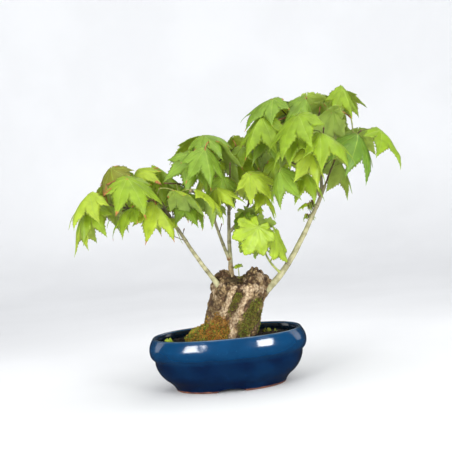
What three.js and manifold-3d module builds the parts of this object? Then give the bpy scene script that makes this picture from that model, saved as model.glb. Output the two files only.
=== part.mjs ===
// A small maple bonsai in a shallow oval glazed pot. A fat stump with two knobs stands in mossy soil,
// three thin boughs rise from it, and loose masses of drooping lobed leaves hang from their ends.
// Sizes are millimetres, +Z is up and +X is the plant's right. Points are first measured from the
// middle of the pot's underside; the last lines set the origin under the middle of the whole plant.
import * as THREE from "three";
import { mergeVertices } from "three/addons/utils/BufferGeometryUtils.js";
import Module from "manifold-3d";

const wasm = await Module();
wasm.setup();

// Clearance between pieces that meet.
const GAP = 0.35;

// The pot: half-lengths along X and heights, up the outside to the 160 mm wide shoulder and the rim,
// and down the inside. Its half-width is a share of its half-length, less at the foot than the rim.
const POT_HEIGHT = 54.3;
const POT_SEGMENTS = 40;
const FOOT_RATIO = 0.7;
const RIM_RATIO = 0.75;
const OVAL_POWER = 2.25;
const FOOT_LENGTH = 57;
const FOOT_INNER = 50;
const FOOT_RECESS = 4.6;
const FOOT_BEVEL = 1.5;
const FLOOR_TOP = 10;
const POT_UNDERSIDE = [
  [0, FOOT_RECESS],
  [FOOT_INNER - FOOT_BEVEL, FOOT_RECESS],
  [FOOT_INNER, 0],
];
const POT_OUTSIDE = [
  [FOOT_LENGTH - FOOT_BEVEL, 0],
  [FOOT_LENGTH, 3],
  [60, 7],
  [67, 13],
  [73, 21],
  [76.2, 29.5],
  [75.6, 31],
  [78.6, 34.5],
  [80, 41],
  [79.2, 47],
  [77.2, 51.5],
  [75, POT_HEIGHT],
  [72.2, POT_HEIGHT - 0.4],
];
const POT_INSIDE = [
  [70.6, 51],
  [71.6, 44.5],
  [69, 27],
  [50, FLOOR_TOP],
];
// Arches cut through the foot: long ones at front and back, short ones at the ends.
const ARCH_HEIGHT = 3.6;
const ARCH_SIDES = 20;
const SIDE_ARCH_HALF = 14;
const END_ARCH_HALF = 9;

// Soil: level bed under the stump, and its height at the pot's wall.
const BED_Z = 48;
const BED_LENGTH = 50;
const SOIL_EDGE_Z = 45.5;

// The stump: its levels as shares of the height, then its middle line and half-widths at even steps.
const STUMP_FOOT_Z = BED_Z + GAP;
const STUMP_TOP_Z = 109.5;
const STUMP_SEGMENTS = 32;
const STUMP_LEVELS = [0, 0.07, 0.16, 0.27, 0.38, 0.5, 0.62, 0.73, 0.83, 0.91, 0.97];
const STUMP_CROWN = [0.93, 0.76, 0.56, 0.34, 0.16, 0];
const STUMP_MIDDLE_X = [-1.5, 5.5, 9, 13, 16.5, 18];
const STUMP_HALF_X = [32, 29.5, 28.5, 28.5, 30, 28.5];
const STUMP_HALF_Y = [27, 23.5, 22, 22, 22.5, 20.5];
// Ridges and hollows of its side: where each runs at the foot and at the crown, in degrees with 270
// at the front, its spread in degrees, the shares of the height it spans, and how far it stands out.
const STUMP_RELIEF = [
  { foot: 272, crown: 304, spread: 12, low: 0, high: 0.92, out: 3.8 },
  { foot: 246, crown: 262, spread: 8, low: 0.22, high: 0.84, out: 3 },
  { foot: 260, crown: 276, spread: 9, low: 0.15, high: 0.8, out: -4.5 },
  { foot: 305, crown: 330, spread: 14, low: 0, high: 0.6, out: -2.2 },
  { foot: 232, crown: 236, spread: 16, low: 0.6, high: 1, out: 2.4 },
  { foot: 345, crown: 352, spread: 20, low: 0.6, high: 0.98, out: 2.8 },
  { foot: 200, crown: 214, spread: 10, low: 0, high: 0.7, out: 2.2 },
  { foot: 30, crown: 48, spread: 12, low: 0, high: 0.9, out: 3 },
  { foot: 62, crown: 76, spread: 9, low: 0.1, high: 0.8, out: -3.2 },
  { foot: 96, crown: 112, spread: 12, low: 0, high: 0.85, out: 3.4 },
  { foot: 150, crown: 158, spread: 14, low: 0, high: 0.8, out: 2.6 },
];
// Fine ripples all round: waves in a turn, how far they twist up the stump, and how far out.
const STUMP_RIPPLES = [
  { waves: 5, twist: 7, out: 0.5 },
  { waves: 9, twist: -5, out: 0.4 },
];
// Knobs and hollows of its crown: middle, spread and height. Its edge is rounded off by a little.
const STUMP_KNOBS = [
  { x: 0, y: -1, spread: 10, up: 7.2 },
  { x: 36.5, y: -2, spread: 9.5, up: 7.6 },
  { x: 29, y: 9, spread: 7, up: 2.5 },
  { x: 18, y: -12, spread: 7, up: -5.5 },
  { x: 14, y: 12, spread: 7, up: -3 },
];
const STUMP_EDGE_FALL = 3;

// Moss heaped over the stump's left foot.
const MOUND = { x: -19, y: -12, halfX: 31, halfY: 23, height: 17, around: 20, rings: 10 };

// Limbs: where each starts, its tip, how far its middle bows off the straight line, and its radii.
// A limb that grows from another names it and the share of its length where it leaves. Radii that a
// row leaves out are a branch's.
const BRANCH = { thick: 1.2, thin: 0.9 };
const LIMB_SIDES = 7;
const BOUGH_STEPS = 7;
const BRANCH_STEPS = 4;
const LIMBS = {
  left_bough: { foot: [-3, -14, 101], tip: [-52, -26, 190], bow: [6, 0, 3], thick: 2.6, thin: 1.3 },
  left_low: { from: "left_bough", at: 0.93, tip: [-93, -37, 189], bow: [0, 0, -1] },
  left_upper: { from: "left_bough", at: 0.88, tip: [-77, -4, 204], bow: [-2, 0, 0] },
  left_rear: { from: "left_bough", at: 0.78, tip: [-70, 28, 193], bow: [0, 3, 3], thick: 1.3 },
  centre_bough: { foot: [10, 0, 104], tip: [16, 0, 198], bow: [-1.5, 0, 0], thick: 3, thin: 1.3 },
  centre_left: { from: "centre_bough", at: 0.22, tip: [-4, -12, 183], bow: [-1.5, 0, 0], thick: 1.9, thin: 1.2 },
  centre_out: { from: "centre_left", at: 0.93, tip: [-32, -20, 207], bow: [0, 0, 3] },
  centre_right: { from: "centre_bough", at: 0.53, tip: [34, -8, 181], bow: [1.5, 0, 0], thick: 1.6, thin: 1.1 },
  centre_cross: { from: "centre_right", at: 0.9, tip: [44, 8, 201], bow: [1, 0, 1], thick: 1.1 },
  centre_rear: { from: "centre_bough", at: 0.8, tip: [27, 42, 209], bow: [0, 3, 2], thick: 1.4 },
  centre_high: { from: "centre_bough", at: 0.93, tip: [3, -8, 227], bow: [0, 0, 2] },
  right_bough: { foot: [42, -4, 91], tip: [113, -4, 193], bow: [-3, 0, -16], thick: 4.6, thin: 1.8 },
  right_leader: { from: "right_bough", at: 0.95, tip: [106, 2, 243], bow: [3, 0, 2], thick: 1.7, thin: 1.1 },
  right_side: { from: "right_bough", at: 0.93, tip: [91, -28, 211], bow: [0, 0, 2], thick: 1.3 },
  right_outer: { from: "right_leader", at: 0.35, tip: [136, -8, 232], bow: [0, 0, 2], thick: 1.3 },
  right_rear: { from: "right_leader", at: 0.5, tip: [117, 48, 247], bow: [0, 3, 3], thick: 1.3 },
  right_lift: { from: "right_leader", at: 0.7, tip: [92, -8, 251], bow: [0, 0, 2] },
  right_fore: { from: "right_leader", at: 0.6, tip: [111, -30, 235], bow: [0, -2, 2] },
  shoot: { from: "right_bough", at: 0.3, tip: [46, -18, 130], bow: [-2, -1, 0], thick: 1.3 },
};

// Masses of foliage, in the order they grow: the limb whose tip carries each, the tip of its stem,
// pairs of leaves along the stem, side twigs, lengths of a blade and of a stalk, and its seed. What
// a row leaves out is the usual mass's.
const USUAL = { pairs: 2, twigs: 1, blade: 48, stalk: 16 };
const MASSES = {
  shoot_leaves: { limb: "shoot", tip: [43, -26, 152], twigs: 0, blade: 35, stalk: 11, seed: 728, young: true },
  left_far: { limb: "left_low", tip: [-116, -42, 198], blade: 50, stalk: 17, seed: 504 },
  right_far: { limb: "right_outer", tip: [153, -14, 244], blade: 54, seed: 339 },
  right_top: { limb: "right_leader", tip: [115, 0, 268], pairs: 3, stalk: 15, seed: 7 },
  right_top_left: { limb: "right_lift", tip: [79, -12, 264], blade: 50, stalk: 18, seed: 576 },
  left_top: { limb: "left_upper", tip: [-85, -2, 215], seed: 490 },
  centre_left_top: { limb: "centre_high", tip: [-3, -10, 242], seed: 578 },
  left_front: { limb: "left_bough", tip: [-66, -47, 194], stalk: 17, seed: 13 },
  centre_left_front: { limb: "centre_left", tip: [-14, -42, 194], twigs: 0, blade: 46, seed: 38 },
  centre_front: { limb: "centre_right", tip: [34, -36, 200], twigs: 0, blade: 46, seed: 639 },
  right_low: { limb: "right_side", tip: [76, -48, 217], blade: 46, seed: 375 },
  right_mid: { limb: "right_bough", tip: [120, -38, 215], twigs: 0, stalk: 17, seed: 554 },
  right_front: { limb: "right_fore", tip: [111, -48, 246], stalk: 18, seed: 55 },
  left_inner: { limb: "centre_out", tip: [-46, -38, 208], blade: 46, seed: 366 },
  centre_mid: { limb: "centre_bough", tip: [19, -20, 223], blade: 42, seed: 278 },
  centre_right_top: { limb: "centre_cross", tip: [58, 14, 230], pairs: 3, blade: 46, stalk: 18, seed: 29 },
  left_back: { limb: "left_rear", tip: [-83, 52, 209], twigs: 2, stalk: 18, seed: 346 },
  centre_back: { limb: "centre_rear", tip: [31, 64, 232], twigs: 2, stalk: 18, seed: 62 },
  right_back: { limb: "right_rear", tip: [126, 64, 266], twigs: 2, stalk: 18, seed: 472 },
};
// A lone sprig in the hollow of the stump's crown, with a smaller room round its leaves.
const SPRIG = { foot: [18, -2, 104], tip: [17.5, -2, 119.5], blade: 9, stalk: 2, seed: 3, room: 0.1 };

// A blade: seven lobes as [degrees off the middle one, share of the blade's length], the notches
// between them, and each lobe's half-width and widest place as shares. A lobe under the small one's
// length is a plain point, and the ribs meet at the hub, a little ahead of the blade's foot.
const LOBES = [[-126, 0.22], [-82, 0.54], [-40, 0.84], [0, 1], [40, 0.84], [82, 0.54], [126, 0.22]];
const NOTCHES = [[-104, 0.18], [-61, 0.32], [-20.5, 0.43], [20.5, 0.43], [61, 0.32], [104, 0.18]];
const LOBE_BROAD = 0.165;
const LOBE_LEAST = 0.35;
const LOBE_WIDEST = 0.5;
const SMALL_LOBE = 0.3;
const HUB = 0.1;
const LOBE_FORWARD = 0.04;
const BLADE_FOOT = -0.02;
const YOUNG = { notch: 1.45, broad: 1.35, widest: 0.72 };
const LEAF_THICK = 0.7;
const STALK_RADIUS = 0.6;
const STEM_RADIUS = 0.9;
const TWIG_RADIUS = 0.75;
const SHOOT_SIDES = 5;
const SHOOT_STEPS = 2;
const STALK_SIDES = 3;
const STALK_END = 0.05;

// Growth: tries for each leaf, and the room kept round blades and stalks.
const TRIES = 12;
const BLADE_ROOM = 2.9;
const STALK_ROOM = 2.2;
const OWN_ROOM = 2;
const PROBE_STEP = 0.085;
const LINE_STEP = 3;
const LIMB_KEPT = 0.97;
const FIRST_PAIR = 0.45;
// What each leaf is drawn from: its way as shares of out, ahead and up, its stalk as shares of the
// mass's, degrees of turn, droop, roll and fold, and shares of the curl and of the blade's length.
const DRAWN = {
  out: [0.7, 1.1],
  ahead: [0.2, 0.7],
  up: [-0.1, 0.5],
  stalk: [0.6, 1.5],
  sag: [0.05, 0.2],
  turn: [-40, 40],
  droop: [15, 65],
  youngDroop: [45, 80],
  roll: [-30, 30],
  curl: [0.55, 1],
  size: [0.82, 1.16],
  fold: [8, 45],
};
const ELBOW = 0.6;
const HANGING = 98;
// Side twigs: where they leave the stem, their length and way, and the turn from one to the next.
const TWIG = { share: [0.25, 0.6], length: [12, 24], out: 0.85, ahead: 0.5, up: 0.25, turn: 2.4 };
// Degrees by which the pairs' turn and each leaf's place stray.
const STRAY = { start: [-40, 40], leaf: [-30, 30], pair: [-20, 20] };

const COLORS = {
  glaze: 0x123c6e,
  soil: 0x2b2119,
  bark: 0x7d6a4c,
  moss: 0x6f6a1e,
  limb: 0xa5a587,
  leaf: 0x93b53c,
  young: 0xb9e14b,
};

const UP = new THREE.Vector3(0, 0, 1);
const vector = (point) => new THREE.Vector3(...point);
const mix = THREE.MathUtils.lerp;
const radians = THREE.MathUtils.degToRad;
const smooth = THREE.MathUtils.smoothstep;

// Reads a row of values that lie at even steps from 0 to 1.
function along(row, share) {
  const place = THREE.MathUtils.clamp(share, 0, 1) * (row.length - 1);
  const step = Math.min(Math.floor(place), row.length - 2);
  return mix(row[step], row[step + 1], place - step);
}

// A closed mesh as a solid: positions only, shared corners merged, folded triangles left out.
function toSolid(geometry) {
  const bare = new THREE.BufferGeometry().setAttribute("position", geometry.getAttribute("position"));
  bare.setIndex(geometry.getIndex());
  const merged = mergeVertices(bare, 1e-4);
  const corners = merged.getIndex().array;
  const kept = [];
  for (let i = 0; i < corners.length; i += 3) {
    const [a, b, c] = corners.slice(i, i + 3);
    if (a !== b && b !== c && c !== a) kept.push(a, b, c);
  }
  const vertProperties = new Float32Array(merged.getAttribute("position").array);
  const mesh = new wasm.Mesh({ numProp: 3, vertProperties, triVerts: new Uint32Array(kept) });
  return new wasm.Manifold(mesh);
}

function toGeometry(solid) {
  const mesh = solid.getMesh();
  const geometry = new THREE.BufferGeometry();
  geometry.setAttribute("position", new THREE.BufferAttribute(mesh.vertProperties, 3));
  geometry.setIndex(new THREE.BufferAttribute(mesh.triVerts, 1));
  geometry.computeVertexNormals();
  return geometry;
}

// Moves each vertex of a geometry by a function of its place.
function reshape(geometry, move) {
  const places = geometry.getAttribute("position");
  const point = new THREE.Vector3();
  for (let i = 0; i < places.count; i += 1) {
    move(point.fromBufferAttribute(places, i));
    places.setXYZ(i, point.x, point.y, point.z);
  }
  return geometry;
}

const plant = new THREE.Group();

function addNode(name, solid, color, roughness) {
  const material = new THREE.MeshStandardMaterial({ color, roughness, metalness: 0 });
  const mesh = new THREE.Mesh(toGeometry(solid), material);
  mesh.name = name;
  plant.add(mesh);
}

// The pot's oval: a turned profile drawn out to a rounded oval, narrower across than along.
function ovalTurning(profile) {
  const points = profile.map(([radius, z]) => new THREE.Vector2(radius, z));
  const turned = new THREE.LatheGeometry(points, POT_SEGMENTS).rotateX(Math.PI / 2);
  return reshape(turned, (p) => {
    const angle = Math.atan2(p.y, p.x);
    const blunt = Math.abs(Math.cos(angle)) ** OVAL_POWER + Math.abs(Math.sin(angle)) ** OVAL_POWER;
    const stretch = blunt ** (-1 / OVAL_POWER);
    p.x *= stretch;
    p.y *= stretch * mix(FOOT_RATIO, RIM_RATIO, p.z / POT_HEIGHT);
  });
}

// A low arch lying along Y through the whole foot.
function archCut(half) {
  const arch = new THREE.CylinderGeometry(half, half, 3 * FOOT_LENGTH, ARCH_SIDES);
  return arch.scale(1, 1, ARCH_HEIGHT / half);
}

const potProfile = [...POT_UNDERSIDE, ...POT_OUTSIDE, ...POT_INSIDE, [0, FLOOR_TOP]];
const pot = toSolid(ovalTurning(potProfile))
  .subtract(toSolid(archCut(SIDE_ARCH_HALF)))
  .subtract(toSolid(archCut(END_ARCH_HALF).rotateZ(Math.PI / 2)));
addNode("pot", pot, COLORS.glaze, 0.15);

// Soil fills the pot to a little under the rim, clear of the wall and floor.
const soilSide = POT_INSIDE.filter(([, z]) => z < SOIL_EDGE_Z).reverse();
const soilProfile = [
  [0, FLOOR_TOP + GAP],
  ...soilSide.map(([radius, z]) => [radius - 2 * GAP, Math.max(z, FLOOR_TOP + GAP)]),
  [soilSide.at(-1)[0] - 2.4 * GAP, SOIL_EDGE_Z],
  [BED_LENGTH, BED_Z],
  [0, BED_Z],
];
addNode("soil", toSolid(ovalTurning(soilProfile)), COLORS.soil, 0.95);

// How far the stump's side stands out at an angle and a share of its height.
function stumpRelief(angle, share) {
  let out = 0;
  for (const { waves, twist, out: height } of STUMP_RIPPLES) {
    out += height * Math.sin(waves * angle + twist * share);
  }
  for (const ridge of STUMP_RELIEF) {
    const turn = THREE.MathUtils.radToDeg(angle) - mix(ridge.foot, ridge.crown, share);
    const off = turn - 360 * Math.round(turn / 360);
    const across = Math.exp(-((off / ridge.spread) ** 2));
    const rise = smooth(share, ridge.low - 0.08, ridge.low + 0.08);
    const fall = 1 - smooth(share, ridge.high - 0.1, ridge.high + 0.08);
    out += ridge.out * across * rise * fall;
  }
  return out;
}

// How far the stump's crown rises over a place.
function stumpCrown(x, y) {
  let up = 0;
  for (const knob of STUMP_KNOBS) {
    up += knob.up * Math.exp(-((x - knob.x) ** 2 + (y - knob.y) ** 2) / knob.spread ** 2);
  }
  return up;
}

// A turned profile of radius 1 and height 1, moved to the stump's outline grown by a margin.
function stumpGeometry(margin) {
  const side = STUMP_LEVELS.map((share) => new THREE.Vector2(1, share));
  const crown = STUMP_CROWN.map((radius) => new THREE.Vector2(radius, 1));
  const profile = [new THREE.Vector2(0, 0), new THREE.Vector2(0.5, 0), ...side, ...crown];
  const turned = new THREE.LatheGeometry(profile, STUMP_SEGMENTS).rotateX(Math.PI / 2);
  return reshape(turned, (p) => {
    const share = p.z;
    const angle = Math.atan2(p.y, p.x);
    const radius = Math.hypot(p.x, p.y);
    const relief = stumpRelief(angle, share) + margin;
    const halfX = along(STUMP_HALF_X, share) + relief;
    p.x = along(STUMP_MIDDLE_X, share) + radius * halfX * Math.cos(angle);
    p.y = radius * (along(STUMP_HALF_Y, share) + relief) * Math.sin(angle);
    const topness = smooth(share, 0.7, 1);
    const rise = stumpCrown(p.x, p.y) - STUMP_EDGE_FALL * radius ** 3;
    p.z = mix(STUMP_FOOT_Z, STUMP_TOP_Z, share) + topness * rise + (share > 0.5 ? margin : -margin);
  });
}

const stump = toSolid(stumpGeometry(0));
const stumpSpace = toSolid(stumpGeometry(GAP));
addNode("trunk", stump, COLORS.bark, 0.9);

// The moss: a ball flattened below its middle, with a ragged edge, cut away round the stump.
const moss = reshape(new THREE.SphereGeometry(1, MOUND.around, MOUND.rings).rotateX(Math.PI / 2), (p) => {
  const angle = Math.atan2(p.y, p.x);
  const ragged = 1 + 0.05 * Math.sin(5 * angle + 1) + 0.04 * Math.sin(8 * angle);
  p.x = MOUND.x + MOUND.halfX * p.x * ragged;
  p.y = MOUND.y + MOUND.halfY * p.y * ragged;
  p.z = STUMP_FOOT_Z + MOUND.height * Math.max(p.z, 0) ** 1.3;
});
addNode("moss_mound", toSolid(moss).subtract(stumpSpace), COLORS.moss, 1);

// A point and a direction on a limb, whose middle bows off the straight line between its ends.
function bend(limb, share) {
  const middle = limb.foot.clone().lerp(limb.tip, 0.5).addScaledVector(limb.bow, 2);
  const near = limb.foot.clone().lerp(middle, share);
  const far = middle.lerp(limb.tip, share);
  return near.lerp(far, share);
}

function heading(limb, share) {
  const middle = limb.foot.clone().lerp(limb.tip, 0.5).addScaledVector(limb.bow, 2);
  const near = middle.clone().sub(limb.foot);
  const far = limb.tip.clone().sub(middle);
  return near.lerp(far, share).normalize();
}

// A tapering tube along a limb: a cylinder of radius and height 1, bent to it and grown by a margin.
function tube(limb, sides, steps, margin = 0) {
  const chord = limb.tip.clone().sub(limb.foot).normalize();
  const steady = Math.abs(chord.z) < 0.6 ? UP : new THREE.Vector3(0, 1, 0);
  return reshape(new THREE.CylinderGeometry(1, 1, 1, sides, steps), (p) => {
    const share = p.y + 0.5;
    const ahead = heading(limb, share);
    const across = ahead.clone().cross(steady).normalize();
    const over = across.clone().cross(ahead);
    const radius = mix(limb.thick, limb.thin, share) + margin;
    const place = bend(limb, share).addScaledVector(ahead, margin * (2 * share - 1));
    place.addScaledVector(across, radius * p.x).addScaledVector(over, radius * p.z);
    p.copy(place);
  });
}

const limbs = {};
for (const [name, row] of Object.entries(LIMBS)) {
  const foot = row.from ? bend(limbs[row.from], row.at) : vector(row.foot);
  limbs[name] = { ...BRANCH, ...row, foot, tip: vector(row.tip), bow: vector(row.bow) };
}
const limbSpaces = {};
for (const [name, limb] of Object.entries(limbs)) {
  const steps = limb.from ? BRANCH_STEPS : BOUGH_STEPS;
  const neighbour = limb.from ? limbSpaces[limb.from] : stumpSpace;
  limbSpaces[name] = toSolid(tube(limb, LIMB_SIDES, steps, GAP));
  addNode(name, toSolid(tube(limb, LIMB_SIDES, steps)).subtract(neighbour), COLORS.limb, 0.8);
}

// Repeatable draws from a seed.
function makeDraws(seed) {
  let state = (seed * 7919 + 12345) % 4294967296;
  const next = () => {
    state = (state * 1664525 + 1013904223) % 4294967296;
    return state / 4294967296;
  };
  for (let i = 0; i < 3; i += 1) next();
  return { next, between: (low, high) => low + (high - low) * next() };
}

const polar = ([degrees, reach]) => [reach * Math.sin(radians(degrees)), reach * Math.cos(radians(degrees))];

const lobeHalf = (reach) => LOBE_BROAD * mix(LOBE_LEAST, 1, reach);

// The flat blade in blade lengths, as [across, along]: its rim from one side of the foot round to the
// other, and for each lobe its rib and its first and last rim points.
function flatBlade(young) {
  const rim = [[0, BLADE_FOOT]];
  const lobes = LOBES.map(([degrees, reach], i) => {
    const [s, c] = polar([degrees, 1]);
    const half = lobeHalf(reach) * (young ? YOUNG.broad : 1);
    const wide = young ? YOUNG.widest * reach : LOBE_WIDEST * reach + LOBE_FORWARD;
    const small = reach < SMALL_LOBE;
    const first = rim.length - 1;
    if (!small) rim.push([wide * s - half * c, wide * c + half * s]);
    rim.push([reach * s, reach * c]);
    if (!small) rim.push([wide * s + half * c, wide * c - half * s]);
    if (NOTCHES[i]) rim.push(polar([NOTCHES[i][0], NOTCHES[i][1] * (young ? YOUNG.notch : 1)]));
    return { small, rib: [wide * s, wide * c], first, last: NOTCHES[i] ? rim.length - 1 : rim.length };
  });
  return { rim, lobes };
}

// Where a flat blade point comes to lie: it runs out from the foot on an arc that curls down, and
// both sides of the blade fold down from its middle.
function bladePoint(leaf, [u, v], lift = 0) {
  const far = Math.hypot(u, v) + 1e-9;
  const turn = leaf.curl * far;
  const reach = Math.sin(turn) / leaf.curl / far;
  const across = reach * u;
  const drop = (1 - Math.cos(turn)) / leaf.curl + Math.abs(across) * Math.sin(leaf.fold);
  const point = leaf.foot.clone();
  const lean = (lift * Math.sin(turn)) / far;
  point.addScaledVector(leaf.side, leaf.size * across * Math.cos(leaf.fold) + lean * u);
  point.addScaledVector(leaf.axis, leaf.size * reach * v + lean * v);
  return point.addScaledVector(leaf.normal, lift * Math.cos(turn) - leaf.size * drop);
}

// A blade as a closed solid: it thins from the hub and the ribs to nothing at the rim.
function bladeGeometry(leaf) {
  const { rim, lobes } = flatBlade(leaf.young);
  const points = rim.map((flat) => bladePoint(leaf, flat));
  const faces = [];
  for (const way of [1, -1]) {
    const hub = points.push(bladePoint(leaf, [0, HUB], (way * LEAF_THICK) / 2)) - 1;
    for (const { small, rib, first, last } of lobes) {
      const edge = Array.from({ length: last - first + 1 }, (_, k) => (first + k) % rim.length);
      const loop = small ? edge : [hub, ...edge, hub];
      const centre = small ? hub : points.push(bladePoint(leaf, rib, (way * LEAF_THICK) / 2)) - 1;
      for (let k = 1; k < loop.length; k += 1) {
        faces.push(...(way > 0 ? [centre, loop[k], loop[k - 1]] : [centre, loop[k - 1], loop[k]]));
      }
    }
  }
  const geometry = new THREE.BufferGeometry().setFromPoints(points);
  return geometry.setIndex(faces);
}

// One leaf: its stalk leaves the node outwards and arches over, and the blade hangs from its end,
// curled so far that its tip points nearly down. Its last two draws are left for its colour.
function makeLeaf(draws, node, out, ahead, mass) {
  const draw = (name) => draws.between(...DRAWN[name]);
  const lean = out.clone().multiplyScalar(draw("out"));
  lean.addScaledVector(ahead, draw("ahead")).addScaledVector(UP, draw("up")).normalize();
  const length = mass.stalk * draw("stalk");
  const sag = length * draw("sag");
  const elbow = node.clone().addScaledVector(lean, ELBOW * length).addScaledVector(UP, sag);
  const foot = node.clone().addScaledVector(lean, length).addScaledVector(UP, -sag);
  const level = new THREE.Vector3(lean.x, lean.y, 0).normalize();
  level.applyAxisAngle(UP, radians(draw("turn")));
  const down = radians(draw(mass.young ? "youngDroop" : "droop"));
  const axis = level.clone().multiplyScalar(Math.cos(down)).addScaledVector(UP, -Math.sin(down));
  const flatNormal = level.clone().multiplyScalar(Math.sin(down)).addScaledVector(UP, Math.cos(down));
  const flatSide = axis.clone().cross(flatNormal);
  const roll = radians(draw("roll"));
  const side = flatSide.clone().multiplyScalar(Math.cos(roll)).addScaledVector(flatNormal, Math.sin(roll));
  const normal = flatNormal.multiplyScalar(Math.cos(roll)).addScaledVector(flatSide, -Math.sin(roll));
  const curl = (radians(HANGING) - down) * draw("curl");
  const size = mass.blade * draw("size");
  const fold = radians(draw("fold"));
  const [tone, rust] = [draws.next(), draws.next()];
  return { node, elbow, foot, axis, side, normal, curl, size, fold, tone, rust, young: mass.young };
}

// Points spread over a flat blade, for the test of its room.
const PROBES = [[0, 0]];
for (const [degrees, reach] of LOBES) {
  const [s, c] = polar([degrees, 1]);
  const half = lobeHalf(reach);
  const steps = Math.max(2, Math.ceil(reach / PROBE_STEP));
  for (let i = 1; i <= steps; i += 1) {
    const share = i / steps;
    const width = half * (share < LOBE_WIDEST ? share / LOBE_WIDEST : (1 - share) / (1 - LOBE_WIDEST));
    for (const part of [-1, -0.5, 0, 0.5, 1]) {
      PROBES.push([reach * share * s + part * width * c, reach * share * c - part * width * s]);
    }
  }
}

// Points along a straight line, a step apart.
function linePoints(from, to) {
  const count = Math.max(2, Math.floor(from.distanceTo(to) / LINE_STEP) + 1);
  return Array.from({ length: count }, (_, i) => from.clone().lerp(to, i / (count - 1)));
}

// Whether any of some points lies within reach of any of others.
function touches(points, others, reach) {
  if (!points.length) return false;
  const box = new THREE.Box3().setFromPoints(points).expandByScalar(reach);
  const close = others.filter((other) => box.containsPoint(other));
  return close.some((other) => points.some((point) => point.distanceToSquared(other) < reach * reach));
}

// Grows one mass: side twigs off its stem, then pairs of leaves up the stem and at each twig's end.
// A twig or leaf that would come too near what is taken is drawn again, and in the end left out.
function grow(mass, taken) {
  const draws = makeDraws(mass.seed);
  const room = mass.room ?? 1;
  const first = radians(draws.between(0, 360));
  const frame = (shoot, share) => {
    const ahead = heading(shoot, share);
    const across = ahead.clone().cross(new THREE.Vector3(0.013, 0.007, 1)).normalize();
    return { ahead, across, over: ahead.clone().cross(across) };
  };
  const outward = ({ across, over }, angle) =>
    across.clone().multiplyScalar(Math.cos(angle)).addScaledVector(over, Math.sin(angle));
  const bow = new THREE.Vector3();
  const { foot, tip, pairs } = mass;
  const stem = { foot, tip, bow, thick: STEM_RADIUS, thin: TWIG_RADIUS, pairs };
  const shoots = [stem];
  for (let k = 0; k < mass.twigs; k += 1) {
    const share = draws.between(...TWIG.share);
    const start = bend(stem, share);
    const way = frame(stem, share);
    const lean = outward(way, first + (k + 0.5) * TWIG.turn).multiplyScalar(TWIG.out);
    lean.addScaledVector(way.ahead, TWIG.ahead).addScaledVector(UP, TWIG.up).normalize();
    const end = start.clone().addScaledVector(lean, draws.between(...TWIG.length));
    if (touches(linePoints(start, end).slice(2), taken, room * BLADE_ROOM)) continue;
    shoots.push({ foot: start, tip: end, bow, thick: TWIG_RADIUS, thin: STALK_RADIUS, pairs: 1 });
  }
  const mine = shoots.flatMap((shoot) => linePoints(shoot.foot, shoot.tip));
  const leaves = [];
  for (const shoot of shoots) {
    let turn = first + radians(draws.between(...STRAY.start));
    for (let k = 0; k < shoot.pairs; k += 1) {
      const share = shoot.pairs === 1 ? 1 : mix(FIRST_PAIR, 1, k / (shoot.pairs - 1));
      const node = bend(shoot, share);
      const way = frame(shoot, share);
      for (const half of [0, 1]) {
        for (let attempt = 0; attempt < TRIES; attempt += 1) {
          const angle = turn + half * Math.PI + radians(draws.between(...STRAY.leaf));
          const leaf = makeLeaf(draws, node, outward(way, angle), way.ahead, mass);
          const blade = PROBES.map((flat) => bladePoint(leaf, flat));
          if (touches(blade, [...taken, ...mine], room * BLADE_ROOM)) continue;
          const stalk = [...linePoints(node, leaf.elbow), ...linePoints(leaf.elbow, leaf.foot)];
          if (touches(stalk.slice(1), taken, STALK_ROOM)) continue;
          if (touches(stalk.slice(3), mine, OWN_ROOM)) continue;
          leaves.push(leaf);
          mine.push(...blade, ...stalk.slice(2));
          break;
        }
      }
      turn += Math.PI / 2 + radians(draws.between(...STRAY.pair));
    }
  }
  return { shoots, leaves, mine };
}

// The solids of a mass, fused into one: shoots, stalks sunk in them, and blades on the stalks' ends.
function massSolid({ shoots, leaves }) {
  const solids = shoots.map((shoot) => toSolid(tube(shoot, SHOOT_SIDES, SHOOT_STEPS)));
  for (const leaf of leaves) {
    const tip = leaf.foot.clone().addScaledVector(leaf.axis, STALK_END * leaf.size);
    const bow = leaf.elbow.clone().sub(leaf.node.clone().lerp(tip, 0.5)).multiplyScalar(0.5);
    const stalk = { foot: leaf.node, tip, bow, thick: STALK_RADIUS, thin: STALK_RADIUS };
    solids.push(toSolid(tube(stalk, STALK_SIDES, SHOOT_STEPS)), toSolid(bladeGeometry(leaf)));
  }
  return solids.reduce((whole, piece) => whole.add(piece));
}

// What the limbs and the stems of the masses take up, before any leaf grows.
const limbPoints = Object.values(limbs).flatMap((limb) => {
  const count = Math.max(4, Math.floor(limb.foot.distanceTo(limb.tip) / LINE_STEP));
  return Array.from({ length: count }, (_, i) => bend(limb, (LIMB_KEPT * i) / (count - 1)));
});
const masses = Object.entries(MASSES).map(([name, row]) => {
  return { ...USUAL, ...row, name, foot: limbs[row.limb].tip, tip: vector(row.tip) };
});
let leafPoints = [];
for (const mass of masses) {
  const others = masses.filter((other) => other !== mass);
  const stems = others.flatMap((other) => linePoints(other.foot, other.tip).slice(1));
  const grown = grow(mass, [...limbPoints, ...stems, ...leafPoints]);
  leafPoints = [...leafPoints, ...grown.mine];
  const solid = massSolid(grown).subtract(limbSpaces[mass.limb]);
  addNode(mass.name, solid, mass.young ? COLORS.young : COLORS.leaf, 0.6);
}

// The sprig: a thin stem with one pair of small leaves.
const sprig = { ...SPRIG, foot: vector(SPRIG.foot), tip: vector(SPRIG.tip), pairs: 1, twigs: 0, young: true };
addNode("sprig", massSolid(grow(sprig, [])).subtract(stumpSpace), COLORS.young, 0.6);

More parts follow.
